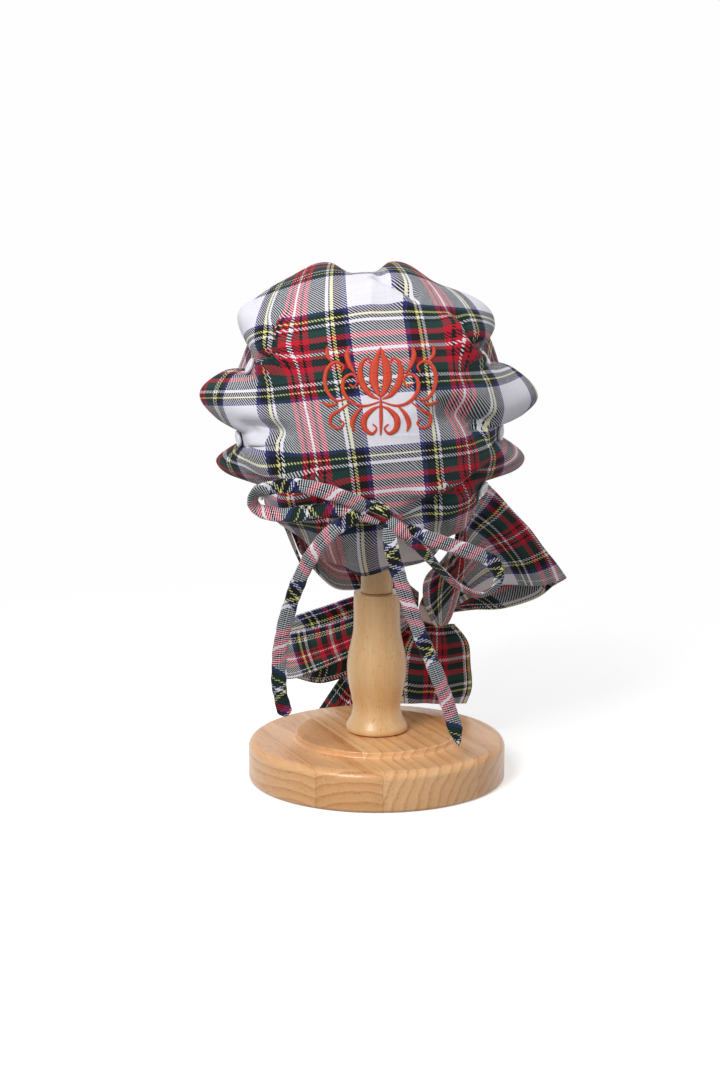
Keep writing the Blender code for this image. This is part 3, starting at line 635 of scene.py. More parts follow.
# How the warp and the weft lie over the puffed cloth, in mm: weights of x, y and 1, then of xx,
# xy, yy, xxx, xxy, xyy and yyy, which fade towards the petals; x and y are in tenths of a metre
GRAIN_WARP = (96.86, 15.02, -14.96, 3.60, -11.42, 3.54, -1.48, 4.04, -6.30, -7.62)
GRAIN_WEFT = (-9.49, 99.72, -8.95, 6.96, 2.95, 3.14, 3.71, -4.64, -5.18, -8.29)
GRAIN_FADE = 1.15
CROWN_SPOKE_STEP = 0.72


def apart(angle, other):
    """How far one angle lies past another, from -180 to 180 degrees."""
    return (angle - other + 180.0) % 360.0 - 180.0


def crown_row(angle):
    """Edge and pull of the crown's cloth at one angle, in degrees, from the table of rows."""
    first = CROWN_ROWS[0][0]
    turn = (angle - first) % 360.0 + first
    index = bisect.bisect_right([row[0] for row in CROWN_ROWS], turn) - 1
    before, start, end, after = [CROWN_ROWS[(index + shift) % len(CROWN_ROWS)] for shift in (-1, 0, 1, 2)]
    gap_before, span, gap_after = ((b[0] - a[0]) % 360.0
                                   for a, b in ((before, start), (start, end), (end, after)))
    start_angle = start[0] + (BUTTON_FLAT if start[5] else 0.0)
    wide = start[0] + span - (BUTTON_FLAT if end[5] else 0.0) - start_angle
    t = max(0.0, min(1.0, (turn - start_angle) / wide))
    values = []
    for column in range(1, 5):
        rise = end[column] - start[column]
        slope_in = rise * 1.5 if start[5] else (end[column] - before[column]) / (gap_before + span) * wide
        slope_out = rise * 1.5 if end[5] else (after[column] - start[column]) / (gap_after + span) * wide
        values.append(hermite(start[column], end[column], slope_in, slope_out, t))
    return values


def bump(distance, width):
    """A smooth hill, 1 at its middle."""
    return np.exp(-(distance / width) ** 2)


def crown_spoke(angle, shares):
    """Points of the crown's middle surface along one spoke, shares 0 at the middle, 1 at the edge."""
    edge_reach, edge_depth, pull_reach, pull_depth = crown_row(angle)
    t = np.asarray(shares, dtype=float)
    u = 1.0 - t
    reach = 3 * u * u * t * 0.56 + 3 * u * t * t * pull_reach + t**3 * edge_reach
    depth = -(u**3) - 3 * u * u * t * 1.03 + 3 * u * t * t * pull_depth + t**3 * edge_depth
    push = np.zeros_like(t)
    for at, wide, along, long, deep in CROWN_FOLDS:
        push += deep * bump(apart(angle, at), wide) * bump(t - along, long)
    nape = 1.0 / (1.0 + math.exp((abs(apart(angle, NAPE_MIDDLE)) - NAPE_HALF) / 3.0))
    push += nape * CASING_PINCH * bump(t - CASING_SHARE, 0.075)
    loose = np.maximum(0.0, (t - CASING_SHARE) / (1.0 - CASING_SHARE))
    wave = math.sin(math.radians(angle * RUFFLE_WAVES) + 0.9 * math.sin(math.radians(angle * 7.0)))
    depth = depth + nape * HEM_TUCK * loose**1.5
    push += nape * wave * (RUFFLE_SWING * loose**0.8 + bump(t - CASING_SHARE + 0.10, 0.10) * 0.010)
    lean = math.radians(82.0) * np.minimum(1.0, t * 0.9) * (1.0 - 0.75 * nape)
    reach = reach - push * np.sin(lean) * CROWN_DEPTH / CROWN_REACH
    depth = depth + push * np.cos(lean)
    turn = math.radians(angle)
    return np.stack([PANEL_OFFSET + CROWN_REACH * reach * math.cos(turn), CROWN_DEPTH * depth,
                     PANEL_HEIGHT + CROWN_REACH * reach * math.sin(turn)], axis=-1)


def creased(grid, flat):
    """The puffed cloth with its creases pressed in; flat holds its points on the flat cloth in mm."""
    across = np.roll(grid, -1, axis=0) - np.roll(grid, 1, axis=0)
    along = np.gradient(grid, axis=1)
    out = np.cross(across, along)
    out *= -np.sign(out[:, :4, 1].mean())
    across, along, out = (field / np.maximum(np.linalg.norm(field, axis=2, keepdims=True), 1e-12)
                          for field in (across, along, out))
    ray = flat / np.maximum(np.linalg.norm(flat, axis=2, keepdims=True), 1e-9)
    moved = grid.copy()
    for line, wide, deep, lip, lean in CROWN_CREASES:
        line = np.array([curve_through(line, step / 30) for step in range(31)])
        steps = np.diff(line, axis=0)
        sizes = np.linalg.norm(steps, axis=1)
        nearest = np.full(flat.shape[:2], 1e9)
        side, run = np.zeros_like(nearest), np.zeros_like(nearest)
        left = np.zeros_like(flat)
        for start, step, size, before in zip(line, steps, sizes, np.cumsum(sizes) - sizes):
            t = np.clip((flat - start) @ step / size**2, 0.0, 1.0)
            off = flat - start - t[:, :, None] * step
            far = np.linalg.norm(off, axis=2)
            closer = far < nearest
            normal = np.array((-step[1], step[0])) / size
            nearest = np.where(closer, far, nearest)
            side = np.where(closer, np.where(off @ normal < 0.0, -far, far), side)
            run = np.where(closer, (before + t * size) / sizes.sum(), run)
            left[closer] = normal
        ease = np.clip(run / 0.30, 0.0, 1.0) * np.clip((1.0 - run) / 0.22, 0.0, 1.0)
        ease = ease * ease * (3.0 - 2.0 * ease)
        valley = bump(side + 0.35 * wide, wide) * ease / 1000.0
        ridge = bump(side - 1.15 * wide, wide) * ease / 1000.0
        radial = (left * ray).sum(axis=2)
        round_about = left[:, :, 1] * ray[:, :, 0] - left[:, :, 0] * ray[:, :, 1]
        toward = along * radial[:, :, None] + across * round_about[:, :, None]
        moved += out * (lip * ridge - deep * valley)[:, :, None] - toward * (lean * ridge)[:, :, None]
    return moved


def crown_normal(angle, share):
    """Which way the crown's cloth faces at a place on a spoke, away from the head."""
    along = crown_spoke(angle, [share - 0.02, share + 0.02])
    across = [crown_spoke(angle + turn, [share])[0] for turn in (-1.0, 1.0)]
    out = Vector(along[1] - along[0]).cross(Vector(across[1] - across[0])).normalized()
    return out if out.y < 0.35 else -out


crown_angles = []
for index, row in enumerate(CROWN_ROWS):
    following = CROWN_ROWS[(index + 1) % len(CROWN_ROWS)]
    span = (following[0] - row[0]) % 360.0
    pieces = max(2, round(span / CROWN_SPOKE_STEP))
    crown_angles += [row[0] + span * step / pieces for step in range(pieces)]
crown_shares = np.concatenate([[0.012], np.linspace(0.03, 0.985, 74), [0.9915, 0.9965, 1.0]])
crown_grid = np.array([crown_spoke(angle, crown_shares) for angle in crown_angles])
crown_centre = crown_spoke(0.0, [0.0])[0]
crown_radius = lengths_along(crown_grid, 1) + np.linalg.norm(crown_grid[:, :1] - crown_centre, axis=2)
turns = np.radians(crown_angles)[:, None]
flat_x, flat_y = crown_radius * np.cos(turns) * 10.0, crown_radius * np.sin(turns) * 10.0
fade = np.exp(-(np.hypot(flat_x, flat_y) / GRAIN_FADE) ** 4)
powers = ((2, 0), (1, 1), (0, 2), (3, 0), (2, 1), (1, 2), (0, 3))
terms = [flat_x, flat_y, 1.0] + [fade * flat_x**a * flat_y**b for a, b in powers]
crown_cloth = np.stack([sum(weight * term for weight, term in zip(weights, terms)) / 1000.0
                        for weights in (GRAIN_WARP, GRAIN_WEFT)], axis=2)
crown_grid = creased(crown_grid, np.stack([flat_x, flat_y], axis=2) * 100.0)
crown_from_edge = crown_radius[:, -1:] - crown_radius
edge_run = np.linalg.norm(np.diff(crown_grid[:, -1], axis=0, append=crown_grid[:1, -1]), axis=1)
edge_run = np.broadcast_to(np.cumsum(edge_run)[:, None], crown_radius.shape)
crown_seam = np.stack([crown_from_edge, edge_run], axis=2)
crown = closed_cloth("crown_cloth", crown_grid, crown_cloth, crown_seam,
                     CLOTH * rounded(crown_from_edge, CLOTH / 2), tartan_plain, ring=True, capped=True)
fit(crown, "crown")


# The embroidery: satin stitches in orange-red rayon thread through the back panel, a flower
# between mirrored scrolls. Each stroke is one raised column of thread side by side.
MOTIF_CENTRE = (0.0016, 0.2815)
STITCH_HEIGHT = 0.0011
STITCH_SUNK = 0.0004
STITCH_LIFT = 0.00002
STITCH_STEP = 0.55
STITCH_POINTS = 7
# The stroke down the middle, which has no mirror image
STEM = 2
# Half of the motif, mirrored: strokes of (x, z, width) from its middle, in mm
MOTIF_STROKES = (
    ((0.0, -5.5, 0.6), (2.6, -1.0, 3.4), (4.4, 6.0, 5.0), (3.8, 14.0, 4.6), (1.8, 20.5, 2.6),
     (0.0, 25.5, 0.5)),
    ((1.2, -6.5, 0.6), (6.8, -3.6, 2.6), (11.6, 3.0, 3.8), (13.2, 10.8, 3.2), (11.0, 17.6, 1.7),
     (7.4, 18.6, 1.1), (6.6, 15.6, 0.7)),
    ((0.0, -6.0, 0.9), (0.2, -12.0, 1.7), (0.3, -20.0, 1.9), (0.0, -29.5, 0.7)),
    ((0.8, -11.0, 0.6), (5.6, -13.4, 2.2), (10.4, -19.0, 3.6), (10.0, -25.6, 3.0), (5.4, -28.6, 1.7),
     (2.6, -25.2, 0.9), (5.0, -22.4, 0.7)),
    ((1.0, -8.2, 0.6), (10.0, -10.8, 1.3), (18.2, -8.6, 1.7), (23.8, -2.2, 2.2), (23.6, 5.4, 2.0),
     (18.6, 9.0, 1.5), (14.8, 5.6, 1.1), (16.8, 1.2, 1.0), (20.0, 2.8, 0.8)),
    ((22.0, -6.4, 0.6), (28.6, -7.6, 1.3), (33.6, -3.0, 1.9), (35.8, 4.6, 2.3), (34.0, 12.4, 2.0),
     (28.8, 16.4, 1.6), (24.0, 13.8, 1.1), (25.4, 9.6, 0.8)),
    ((20.2, -9.2, 0.6), (26.0, -13.6, 1.5), (31.6, -17.6, 2.0), (31.8, -23.4, 1.6), (26.8, -25.6, 1.2),
     (23.6, -22.2, 0.9), (26.0, -19.8, 0.7)),
    ((16.0, 9.4, 0.5), (19.4, 14.0, 2.3), (21.6, 20.6, 2.9), (20.2, 26.2, 0.5)),
    ((11.0, -11.0, 0.5), (15.6, -15.8, 2.2), (18.2, -22.0, 2.6), (17.0, -27.4, 0.5)),
    ((27.0, -9.4, 0.5), (32.8, -10.8, 2.0), (37.8, -9.0, 0.5)),
    ((31.0, 16.2, 0.5), (34.4, 20.6, 2.1), (34.2, 26.0, 0.5)),
)


def satin_look():
    look, start = new_look("satin_stitches", {
        "Sheen Weight": 0.03, "Specular IOR Level": 0.35, "Anisotropic": 0.35})
    along = start.chart("thread")
    lean = along / 0.00040 + along.beside(1) / 0.0016
    ply = (lean.rest() - 0.5) * (lean.rest() - 0.5) * 4.0
    # painted shade between the threads: each stitch darkens towards its sides (ply), beside a tone of its
    # own for each thread
    tone = ply * -0.45 + lean.whole().chance() * 0.25 + 0.72
    colour = tone.ramp([(0.1, dye("7E1D0C")), (0.6, dye("C43517")), (1.0, dye("E2502A"))])
    return coat(look, colour, ply * 0.25 + 0.34, (1.0 - ply).pressed(0.5, 0.00022))


crown_tree = BVHTree.FromObject(crown, bpy.context.evaluated_depsgraph_get())


def on_panel(x, z):
    """The spot of the back panel's outer face behind a point of the motif, and its normal."""
    spot, normal, _, _ = crown_tree.ray_cast(Vector((x, -0.3, z)), Vector((0.0, 1.0, 0.0)))
    return spot, (normal if normal.y < 0 else -normal)


stroke_points, stroke_faces, stroke_maps = [], [], []
for side in (-1.0, 1.0):
    for number, stroke in enumerate(MOTIF_STROKES):
        if number == STEM and side < 0:
            continue
        line = [(x * side, z, width) for x, z, width in stroke]
        length = sum(math.dist(a[:2], b[:2]) for a, b in zip(line, line[1:]))
        steps = max(12, int(length / STITCH_STEP))
        samples = [curve_through(line, step / steps) for step in range(steps + 1)]
        run = 0.0
        base = len(stroke_points)
        for step, (x, z, width) in enumerate(samples):
            ahead = samples[min(step + 1, steps)]
            behind = samples[max(step - 1, 0)]
            dx, dz = ahead[0] - behind[0], ahead[1] - behind[1]
            size = math.hypot(dx, dz) or 1.0
            if step:
                run += math.dist((x, z), samples[step - 1][:2]) / 1000.0
            # one stitch lies across the stroke, highest in its middle, its ends sunk in the cloth
            for index in range(STITCH_POINTS):
                across = 2.0 * index / (STITCH_POINTS - 1) - 1.0
                reach = across * (0.35 + 1.22 * width) / 2
                spot, normal = on_panel(MOTIF_CENTRE[0] + (x - dz / size * reach) / 1000.0,
                                        MOTIF_CENTRE[1] + (z + dx / size * reach) / 1000.0)
                swell = min(1.0, 0.45 + width / 4.0) * math.sqrt(max(0.0, 1.0 - across * across))
                sunk = STITCH_SUNK if index in (0, STITCH_POINTS - 1) else 0.0
                stroke_points.append(spot + normal * (STITCH_HEIGHT * swell + STITCH_LIFT - sunk))
                stroke_maps.append((run, reach / 1000.0))
        for here in range(base, base + steps * STITCH_POINTS, STITCH_POINTS):
            there = here + STITCH_POINTS
            for index in range(STITCH_POINTS - 1):
                stroke_faces.append((here + index, there + index, there + index + 1, here + index + 1))
            stroke_faces.append((there, here, there - 1, there + STITCH_POINTS - 1))
        last = base + steps * STITCH_POINTS
        stroke_faces.append(tuple(range(base, base + STITCH_POINTS)))
        stroke_faces.append(tuple(reversed(range(last, last + STITCH_POINTS))))
embroidery = object_mesh("satin_flower", stroke_points, stroke_faces, satin_look())
thread_map = embroidery.data.uv_layers.new(name="thread")
for loop in embroidery.data.loops:
    thread_map.data[loop.index].uv = stroke_maps[loop.vertex_index]
fit(embroidery)


# The buttons: seven glossy white shirt buttons with a rim, a shallow dish and four holes, sewn
# through the crown and the brim with crossed white thread.
BUTTON_RADIUS = 0.0057
BUTTON_THICKNESS = 0.0026
BUTTON_HOLE = 0.00070
BUTTON_HOLE_REACH = 0.00155
BUTTON_THREAD = 0.00026
BUTTON_THREAD_GAP = 0.00024
BUTTON_THREAD_RISE = 0.0003
BUTTON_THREAD_SUNK = -0.0016
# The button's section from the middle of its top round to its underside: shares of its radius and
# of half its thickness
BUTTON_SHAPE = (
    (0.0, 0.32), (0.34, 0.33), (0.52, 0.42), (0.62, 0.7), (0.7, 0.93), (0.8, 1.0), (0.9, 0.86),
    (0.97, 0.58), (1.0, 0.22), (0.985, -0.2), (0.92, -0.72), (0.82, -1.0), (0.0, -1.0),
)
# Angle of each one's spoke and share along it
BUTTONS = (
    (-4.7, 0.835), (29.0, 0.835), (92.7, 0.96), (154.7, 0.835), (187.5, 0.835), (212.0, 0.84),
    (330.0, 0.84),
)


def button_look():
    look, start = new_look("button_polyester", {
        "Coat Weight": 0.5, "Coat Roughness": 0.08, "Specular IOR Level": 0.55})
    place = start.place()
    fine = place.noise(1900.0)
    colour = place.noise(260.0).ramp([(0.25, dye("CFCED6")), (0.75, dye("EDECF1"))])
    return coat(look, colour, fine * 0.12 + 0.16, fine.pressed(0.06, 0.0002))


def yarn_look(name, sheen, twists, tones, rough, ply=None):
    """Twisted yarn; ply is the strength of the relief of its twist."""
    look, start = new_look(name, {"Sheen Weight": sheen})
    place = start.place()
    twist = place.node("TexWave", {"bands_direction": "DIAGONAL"}, {"Vector": place, "Scale": twists})
    # painted shade along the twist: the first, darker tone lies in its grooves and the second on its ridges
    colour = twist.ramp([(at, dye(tone)) for at, tone in enumerate(tones)])
    return coat(look, colour, twist * 0.1 + rough, twist.pressed(ply, 0.0001) if ply else None)


def yarns(name, radius, resolution, look, runs):
    """Round yarns through runs of points."""
    line = bpy.data.curves.new(name, "CURVE")
    line.dimensions = "3D"
    line.bevel_depth = radius
    line.bevel_resolution = resolution
    line.materials.append(look)
    for run in runs:
        yarn = line.splines.new("POLY")
        yarn.points.add(len(run) - 1)
        for point, spot in zip(yarn.points, run):
            point.co = (*spot, 1.0)
    return put(name, line)


half_thick = BUTTON_THICKNESS / 2
button_profile = [(wide * BUTTON_RADIUS, high * half_thick) for wide, high in BUTTON_SHAPE]
button_white = button_look()
# white sewing thread; its darker tone is painted shade in the twist's grooves
thread_white = yarn_look("sewing_thread", 0.2, 900.0, ("CFCBD0", "F0EEF2"), 0.7, 0.3)
hole_turns = [math.radians(45 + 90 * index) for index in range(4)]
holes = [Vector((BUTTON_HOLE_REACH * math.cos(turn), BUTTON_HOLE_REACH * math.sin(turn), 0.0))
         for turn in hole_turns]
pattern = turned("button_pattern", button_profile, 56, button_white)
for hole in holes:
    awl_profile = [(0.0, 0.004), (BUTTON_HOLE, 0.004), (BUTTON_HOLE, -0.004), (0.0, -0.004)]
    awl = turned("awl", awl_profile, 20, button_white)
    awl.location = hole
    awl.hide_render = True
    drill = pattern.modifiers.new("hole", "BOOLEAN")
    drill.object = awl
    bpy.context.view_layer.update()
    bored = bpy.data.meshes.new_from_object(pattern.evaluated_get(bpy.context.evaluated_depsgraph_get()))
    pattern.modifiers.clear()
    pattern.data = bored
    bpy.data.objects.remove(awl, do_unlink=True)
bored_mesh = pattern.data
bpy.data.objects.remove(pattern, do_unlink=True)
# two threads side by side between each pair of opposite holes, one pair crossing over the other
cross_stitches = []
for first in (0, 1):
    start, end = holes[first], holes[first + 2]
    for shift in (-BUTTON_THREAD_GAP, BUTTON_THREAD_GAP):
        side = (end - start).cross(Vector((0, 0, 1))).normalized() * shift
        run = []
        for step in range(9):
            t = step / 8
            sunk = BUTTON_THREAD_SUNK if step in (0, 8) else 0.0
            rise = half_thick * 0.36 + BUTTON_THREAD_RISE * math.sin(math.pi * t) + sunk + 0.0001 * first
            run.append(start.lerp(end, t) + side * math.sin(math.pi * t) + Vector((0, 0, rise)))
        cross_stitches.append(run)
for number, (angle, share) in enumerate(BUTTONS, 1):
    out = crown_normal(angle, share)
    away = CLOTH / 2 + FACE_GAP + half_thick * 1.25
    place = Matrix.Translation(Vector(crown_spoke(angle, [share])[0]) + out * away)
    place = place @ out.to_track_quat("Z", "Y").to_matrix().to_4x4()
    button = put(f"sewn_button_{number}", bored_mesh)
    button.matrix_world = place
    fit(button, f"button_{number}")
    threads = yarns(f"button_thread_{number}", BUTTON_THREAD, 3, thread_white, cross_stitches)
    threads.matrix_world = place
    fit(threads)


# The nape tie: a narrow tube of the tartan cut on the bias and pressed flat. It runs through the
# casing and out of a buttonhole, and is tied there in a bow with two loose tails.
NAPE_TIE_WIDTH = 0.0098
NAPE_TIE_THICKNESS = 0.0026
NAPE_BOW_REACH = 0.096
NAPE_KNOT = Vector((0.0115, -0.945 * CROWN_DEPTH, PANEL_HEIGHT - 0.667 * CROWN_REACH))
# x and z from the knot, depth as a share of CROWN_DEPTH, and the turn of the tie's face in degrees
NAPE_TIES = {
    "nape_loop_left": (
        (-0.075, 0.045, -0.96, 10), (-0.2, 0.115, -1.03, 5), (-0.376, 0.203, -1.1, 0),
        (-0.647, 0.275, -1.12, 0), (-0.865, 0.245, -1.05, 15), (-0.96, 0.17, -0.96, 45),
        (-0.925, 0.08, -0.92, 45), (-0.74, 0.052, -0.96, 20), (-0.52, 0.092, -1.04, 5),
        (-0.32, 0.095, -1.045, 5), (-0.105, 0.015, -0.98, 10),
    ),
    "nape_loop_right": (
        (0.078, -0.04, -0.955, 0), (0.2, -0.1, -0.96, 0), (0.414, -0.18, -0.9, 0),
        (0.64, -0.28, -0.82, 10), (0.705, -0.375, -0.79, 35), (0.692, -0.475, -0.775, 55),
        (0.587, -0.535, -0.785, 65), (0.431, -0.46, -0.83, 60), (0.299, -0.335, -0.89, 55),
        (0.166, -0.175, -0.95, 40), (0.08, -0.11, -0.975, 20),
    ),
    "nape_tail_left": (
        (-0.215, 0.05, -1.005, 10), (-0.32, 0.02, -1.08, 5), (-0.43, -0.022, -1.12, 0),
        (-0.57, -0.128, -1.08, 0), (-0.69, -0.291, -0.99, 0), (-0.78, -0.499, -0.9, 0),
        (-0.8, -0.684, -0.84, 0), (-0.755, -0.826, -0.8, 0),
    ),
    "nape_tail_right": (
        (-0.05, -0.018, -0.97, 0), (-0.018, -0.131, -0.98, 0), (0.058, -0.285, -0.94, 0),
        (0.16, -0.452, -0.89, 0), (0.308, -0.672, -0.835, 0), (0.405, -0.85, -0.805, 0),
        (0.45, -0.957, -0.79, 0),
    ),
}
# Where each tail's tip starts along it, and how round it is (1 for a point)
NAPE_TIPS = {"nape_tail_left": (0.960, 2.0), "nape_tail_right": (0.880, 1.0)}
NAPE_AROUND = 22
# How far from the knot the middle of a red band crosses each strand, in metres
NAPE_GRAIN = {
    "nape_loop_left": 0.039, "nape_loop_right": 0.035, "nape_tail_left": 0.044, "nape_tail_right": 0.054,
}
# The knot: its wrap's place, its height, depth, half width and half thickness, and its lean and
# slant in degrees; then its core's place, half reach, size and stripes
NAPE_WRAP_PLACE = Vector((-0.0125, -0.0006, 0.0068))
NAPE_WRAP = (0.0060, 0.0042, 0.0078, 0.0013, 25, 12)
NAPE_CORE = ((0.0008, -0.0036), (0.0110, -0.0062), (0.0058, 0.0042), (0.133, 0.076))
BIAS = 0.7071


def tube_cloth(name, frames, closed, grain, look, flat_power=0.72):
    """A flattened tube of bias cloth through frames of centre, side, face, and half its width and
    its thickness."""
    points, faces, cloth, seam = [], [], [], []
    run = 0.0
    for step, (centre, side, face, half, thick) in enumerate(frames):
        if step:
            run += (centre - frames[step - 1][0]).length
        for index in range(NAPE_AROUND + 1):
            turn = math.tau * index / NAPE_AROUND
            c, s = math.cos(turn), math.sin(turn)
            wide = math.copysign(abs(c) ** flat_power, c)
            high = math.copysign(abs(s) ** flat_power, s)
            if index < NAPE_AROUND:
                points.append(centre + side * half * wide + face * thick * high)
            girth = (turn / math.tau) * 2.0 * NAPE_TIE_WIDTH
            cloth.append(((run + girth) * BIAS + grain[0], (run - girth) * BIAS + grain[1]))
            seam.append((half * (1.0 - abs(wide)) + 0.0004, run))
    rows = len(frames)
    for step in range(rows if closed else rows - 1):
        here, there = step * NAPE_AROUND, ((step + 1) % rows) * NAPE_AROUND
        for index in range(NAPE_AROUND):
            following = (index + 1) % NAPE_AROUND
            faces.append((here + index, there + index, there + following, here + following))
    if not closed:
        faces.append(tuple(reversed(range(NAPE_AROUND))))
        faces.append(tuple((rows - 1) * NAPE_AROUND + index for index in range(NAPE_AROUND)))
    made = object_mesh(name, points, faces, look)
    maps = [made.data.uv_layers.new(name=title) for title in ("cloth", "seam")]
    for face_number, face in enumerate(made.data.polygons):
        wall = face_number < len(faces) - (0 if closed else 2)
        for loop in face.loop_indices:
            row, index = divmod(made.data.loops[loop].vertex_index, NAPE_AROUND)
            if wall and face_number % NAPE_AROUND == NAPE_AROUND - 1 and index == 0:
                index = NAPE_AROUND
            at = row * (NAPE_AROUND + 1) + index
            maps[0].data[loop].uv = cloth[at]
            maps[1].data[loop].uv = seam[at]
    return made


def nape_frames(rows, steps, tail):
    """A strand of the nape tie: narrower at the knot, crumpled, and a tail's tip trimmed."""
    frames = []
    for step in range(steps + 1):
        at = step / steps
        x, y, z, turn = curve_through(rows, at)
        run = way_along(rows, at, 0.012).normalized()
        side = run.cross(Vector((0.0, -1.0, 0.0))).normalized()
        face = side.cross(run).normalized()
        tilt = math.radians(turn)
        turned_side = side * math.cos(tilt) + face * math.sin(tilt)
        turned_face = turned_side.cross(run).normalized()
        gathered = 0.0 if tail else 0.35 * math.exp(-((1 - at) / 0.05) ** 2)
        narrow = 1.0 - 0.35 * math.exp(-(at / 0.05) ** 2) - gathered
        crumple = 1.0 + 0.045 * math.sin(at * 61.0) + 0.03 * math.sin(at * 143.0 + 1.0)
        thick = NAPE_TIE_THICKNESS / 2 * (1.0 + 0.30 * math.sin(at * 47.0 + 0.7) * math.sin(at * 19.0))
        end = 1.0
        if tail and at > tail[0]:
            past = (at - tail[0]) / (1.0 - tail[0])
            end = max(0.12, 1.0 - past ** tail[1]) ** (1.0 / tail[1])
        wide = NAPE_TIE_WIDTH / 2 * narrow * crumple * end
        frames.append((Vector((x, y, z)), turned_side, turned_face, wide, thick * (0.5 + 0.5 * end)))
    return frames


for name, rows in NAPE_TIES.items():
    tail = NAPE_TIPS.get(name)
    drop = NAPE_KNOT[2] - STEP_TOP if tail else NAPE_BOW_REACH
    path = [(NAPE_KNOT[0] + x * NAPE_BOW_REACH, y * CROWN_DEPTH, NAPE_KNOT[2] + z * drop, turn)
            for x, z, y, turn in rows]
    # on the bias the red band of one yarn meets the white band of the other
    grain = [phase - (NAPE_GRAIN[name] + NAPE_TIE_WIDTH / 2 * way) * BIAS
             for phase, way in ((0.0, 1), (half_order(WEFT_STRIPES), -1))]
    strip = tube_cloth(name + "_tube", nape_frames(path, 150, tail), False, grain, tartan_plain)
    fit(strip, name)
    spots = [curve_through(path, step / 60)[:3] for step in range(61)]
    long = sum(math.dist(spot, following) for spot, following in zip(spots, spots[1:]))


def wrap_frames(centre, radius, depth, half, thick, lean, slant):
    """A ring of the tie round the crossing of the bow: half is its half width along the bow."""
    frames = []
    turn_about = Matrix.Rotation(math.radians(lean), 3, "Y") @ Matrix.Rotation(math.radians(slant), 3, "Z")
    for step in range(40):
        turn = math.tau * step / 40
        swell = 1.0 + 0.08 * math.sin(3 * turn + 0.6)
        spot = Vector((0.0, -depth * math.cos(turn) * swell, radius * math.sin(turn) * swell))
        out = Vector((0.0, -math.cos(turn) / depth, math.sin(turn) / radius)).normalized()
        frames.append((centre + turn_about @ spot, turn_about @ Vector((1.0, 0.0, 0.0)), turn_about @ out,
                       half * (1.0 + 0.10 * math.cos(2 * turn)), thick))
    return frames


def knot_core(name, knot, shift, reach, size, grain):
    """The cloth packed inside a knot, a short fat roll that shows at both sides of its wrap."""
    frames = []
    for x in np.linspace(-1, 1, 24):
        spot = knot + Vector((shift[0] + x * reach[0], 0.0, shift[1] + x * reach[1]))
        end = math.sqrt(max(0.02, 1 - x * x * 0.9))
        frames.append((spot, Vector((0, 0, 1)), Vector((0, -1, 0)), size[0] * end, size[1] * end))
    core = tube_cloth(name, frames, False, grain, tartan_plain, 0.9)
    fit(core, None)


nape_ring = wrap_frames(NAPE_KNOT + NAPE_WRAP_PLACE, *NAPE_WRAP)
fit(tube_cloth("nape_wrap", nape_ring, True, (0.020, 0.024), tartan_plain), "nape_knot")
knot_core("nape_core", NAPE_KNOT, *NAPE_CORE)


# The buttonhole that the nape tie comes out of: an oval of close white stitches over the casing,
# with a few red yarns of the cut cloth frayed out of it.
EYELET_CENTRE = (0.0070, 0.1970)
EYELET_SIZE = (0.0066, 0.0046)
EYELET_TURN = math.radians(-28.0)
# Frayed yarns: where each starts round the oval in degrees, its length and how far it curls, in mm
EYELET_FRAYS = (
    (-26, 4.2, 2.4), (-12, 5.2, -1.8), (5, 5.0, 1.5), (12, 3.2, -0.8), (18, 4.0, -2.0), (30, 6.0, 2.2),
    (42, 4.6, 1.2), (55, 3.8, -1.6), (70, 3.0, 1.4),
)
EYELET_YARN = 0.00036
EYELET_STITCHES = 180


def eyelet_spot(turn, share, lift):
    """A place over the casing, at a turn and a share of the oval's size."""
    x, z = EYELET_SIZE[0] * share * math.cos(turn), EYELET_SIZE[1] * share * math.sin(turn)
    spot, normal = on_panel(EYELET_CENTRE[0] + x * math.cos(EYELET_TURN) - z * math.sin(EYELET_TURN),
                            EYELET_CENTRE[1] + x * math.sin(EYELET_TURN) + z * math.cos(EYELET_TURN))
    return spot + normal * lift


stitches = [eyelet_spot(math.tau * step / EYELET_STITCHES, 1.0 + 0.30 * (step % 2), 0.0011)
            for step in range(EYELET_STITCHES + 1)]
frays = []
for start_turn, long, curl in EYELET_FRAYS:
    run = []
    for step in range(8):
        t = step / 7
        turn = math.radians(start_turn + curl * 14.0 * t * t)
        run.append(eyelet_spot(turn, 0.7 + long / 6.5 * t, 0.0016 + 0.0014 * math.sin(math.pi * t)))
    frays.append(run)
# red frayed yarn; its darker tone is painted shade in the twist's grooves
frayed = yarn_look("frayed_yarn", 0.1, 700.0, ("B8233B", "EE6478"), 0.75)
fit(yarns("buttonhole_stitches", EYELET_YARN, 2, thread_white, [stitches]))
fit(yarns("buttonhole_frays", EYELET_YARN, 2, frayed, frays))


# The chin ties: two wide sashes of the tartan, hemmed along both sides and sewn inside the
# brim's lower corners, tied at the front in a big soft bow whose tails fall on the stand.
CHIN_TIE_CLOTH = 0.0016
CHIN_BOW_REACH = 0.100
CHIN_KNOT = Vector((0.0425, BASE_RADIUS - 0.015, 0.104))
CHIN_SEWN = {"chin_strap_left": -1.0, "chin_strap_right": 1.0}
CHIN_SEWN_LOW = 0.985
CHIN_SEWN_HIGH = 0.855
CHIN_SEWN_AT = (0.74, 0.90)
CHIN_WRAP = (0.0105, 0.0068, 0.0098, 0.0022, 20, -8)
CHIN_CORE = ((0.0, 0.0), (0.0110, 0.0030), (0.0098, 0.0064), (0.110, 0.108))
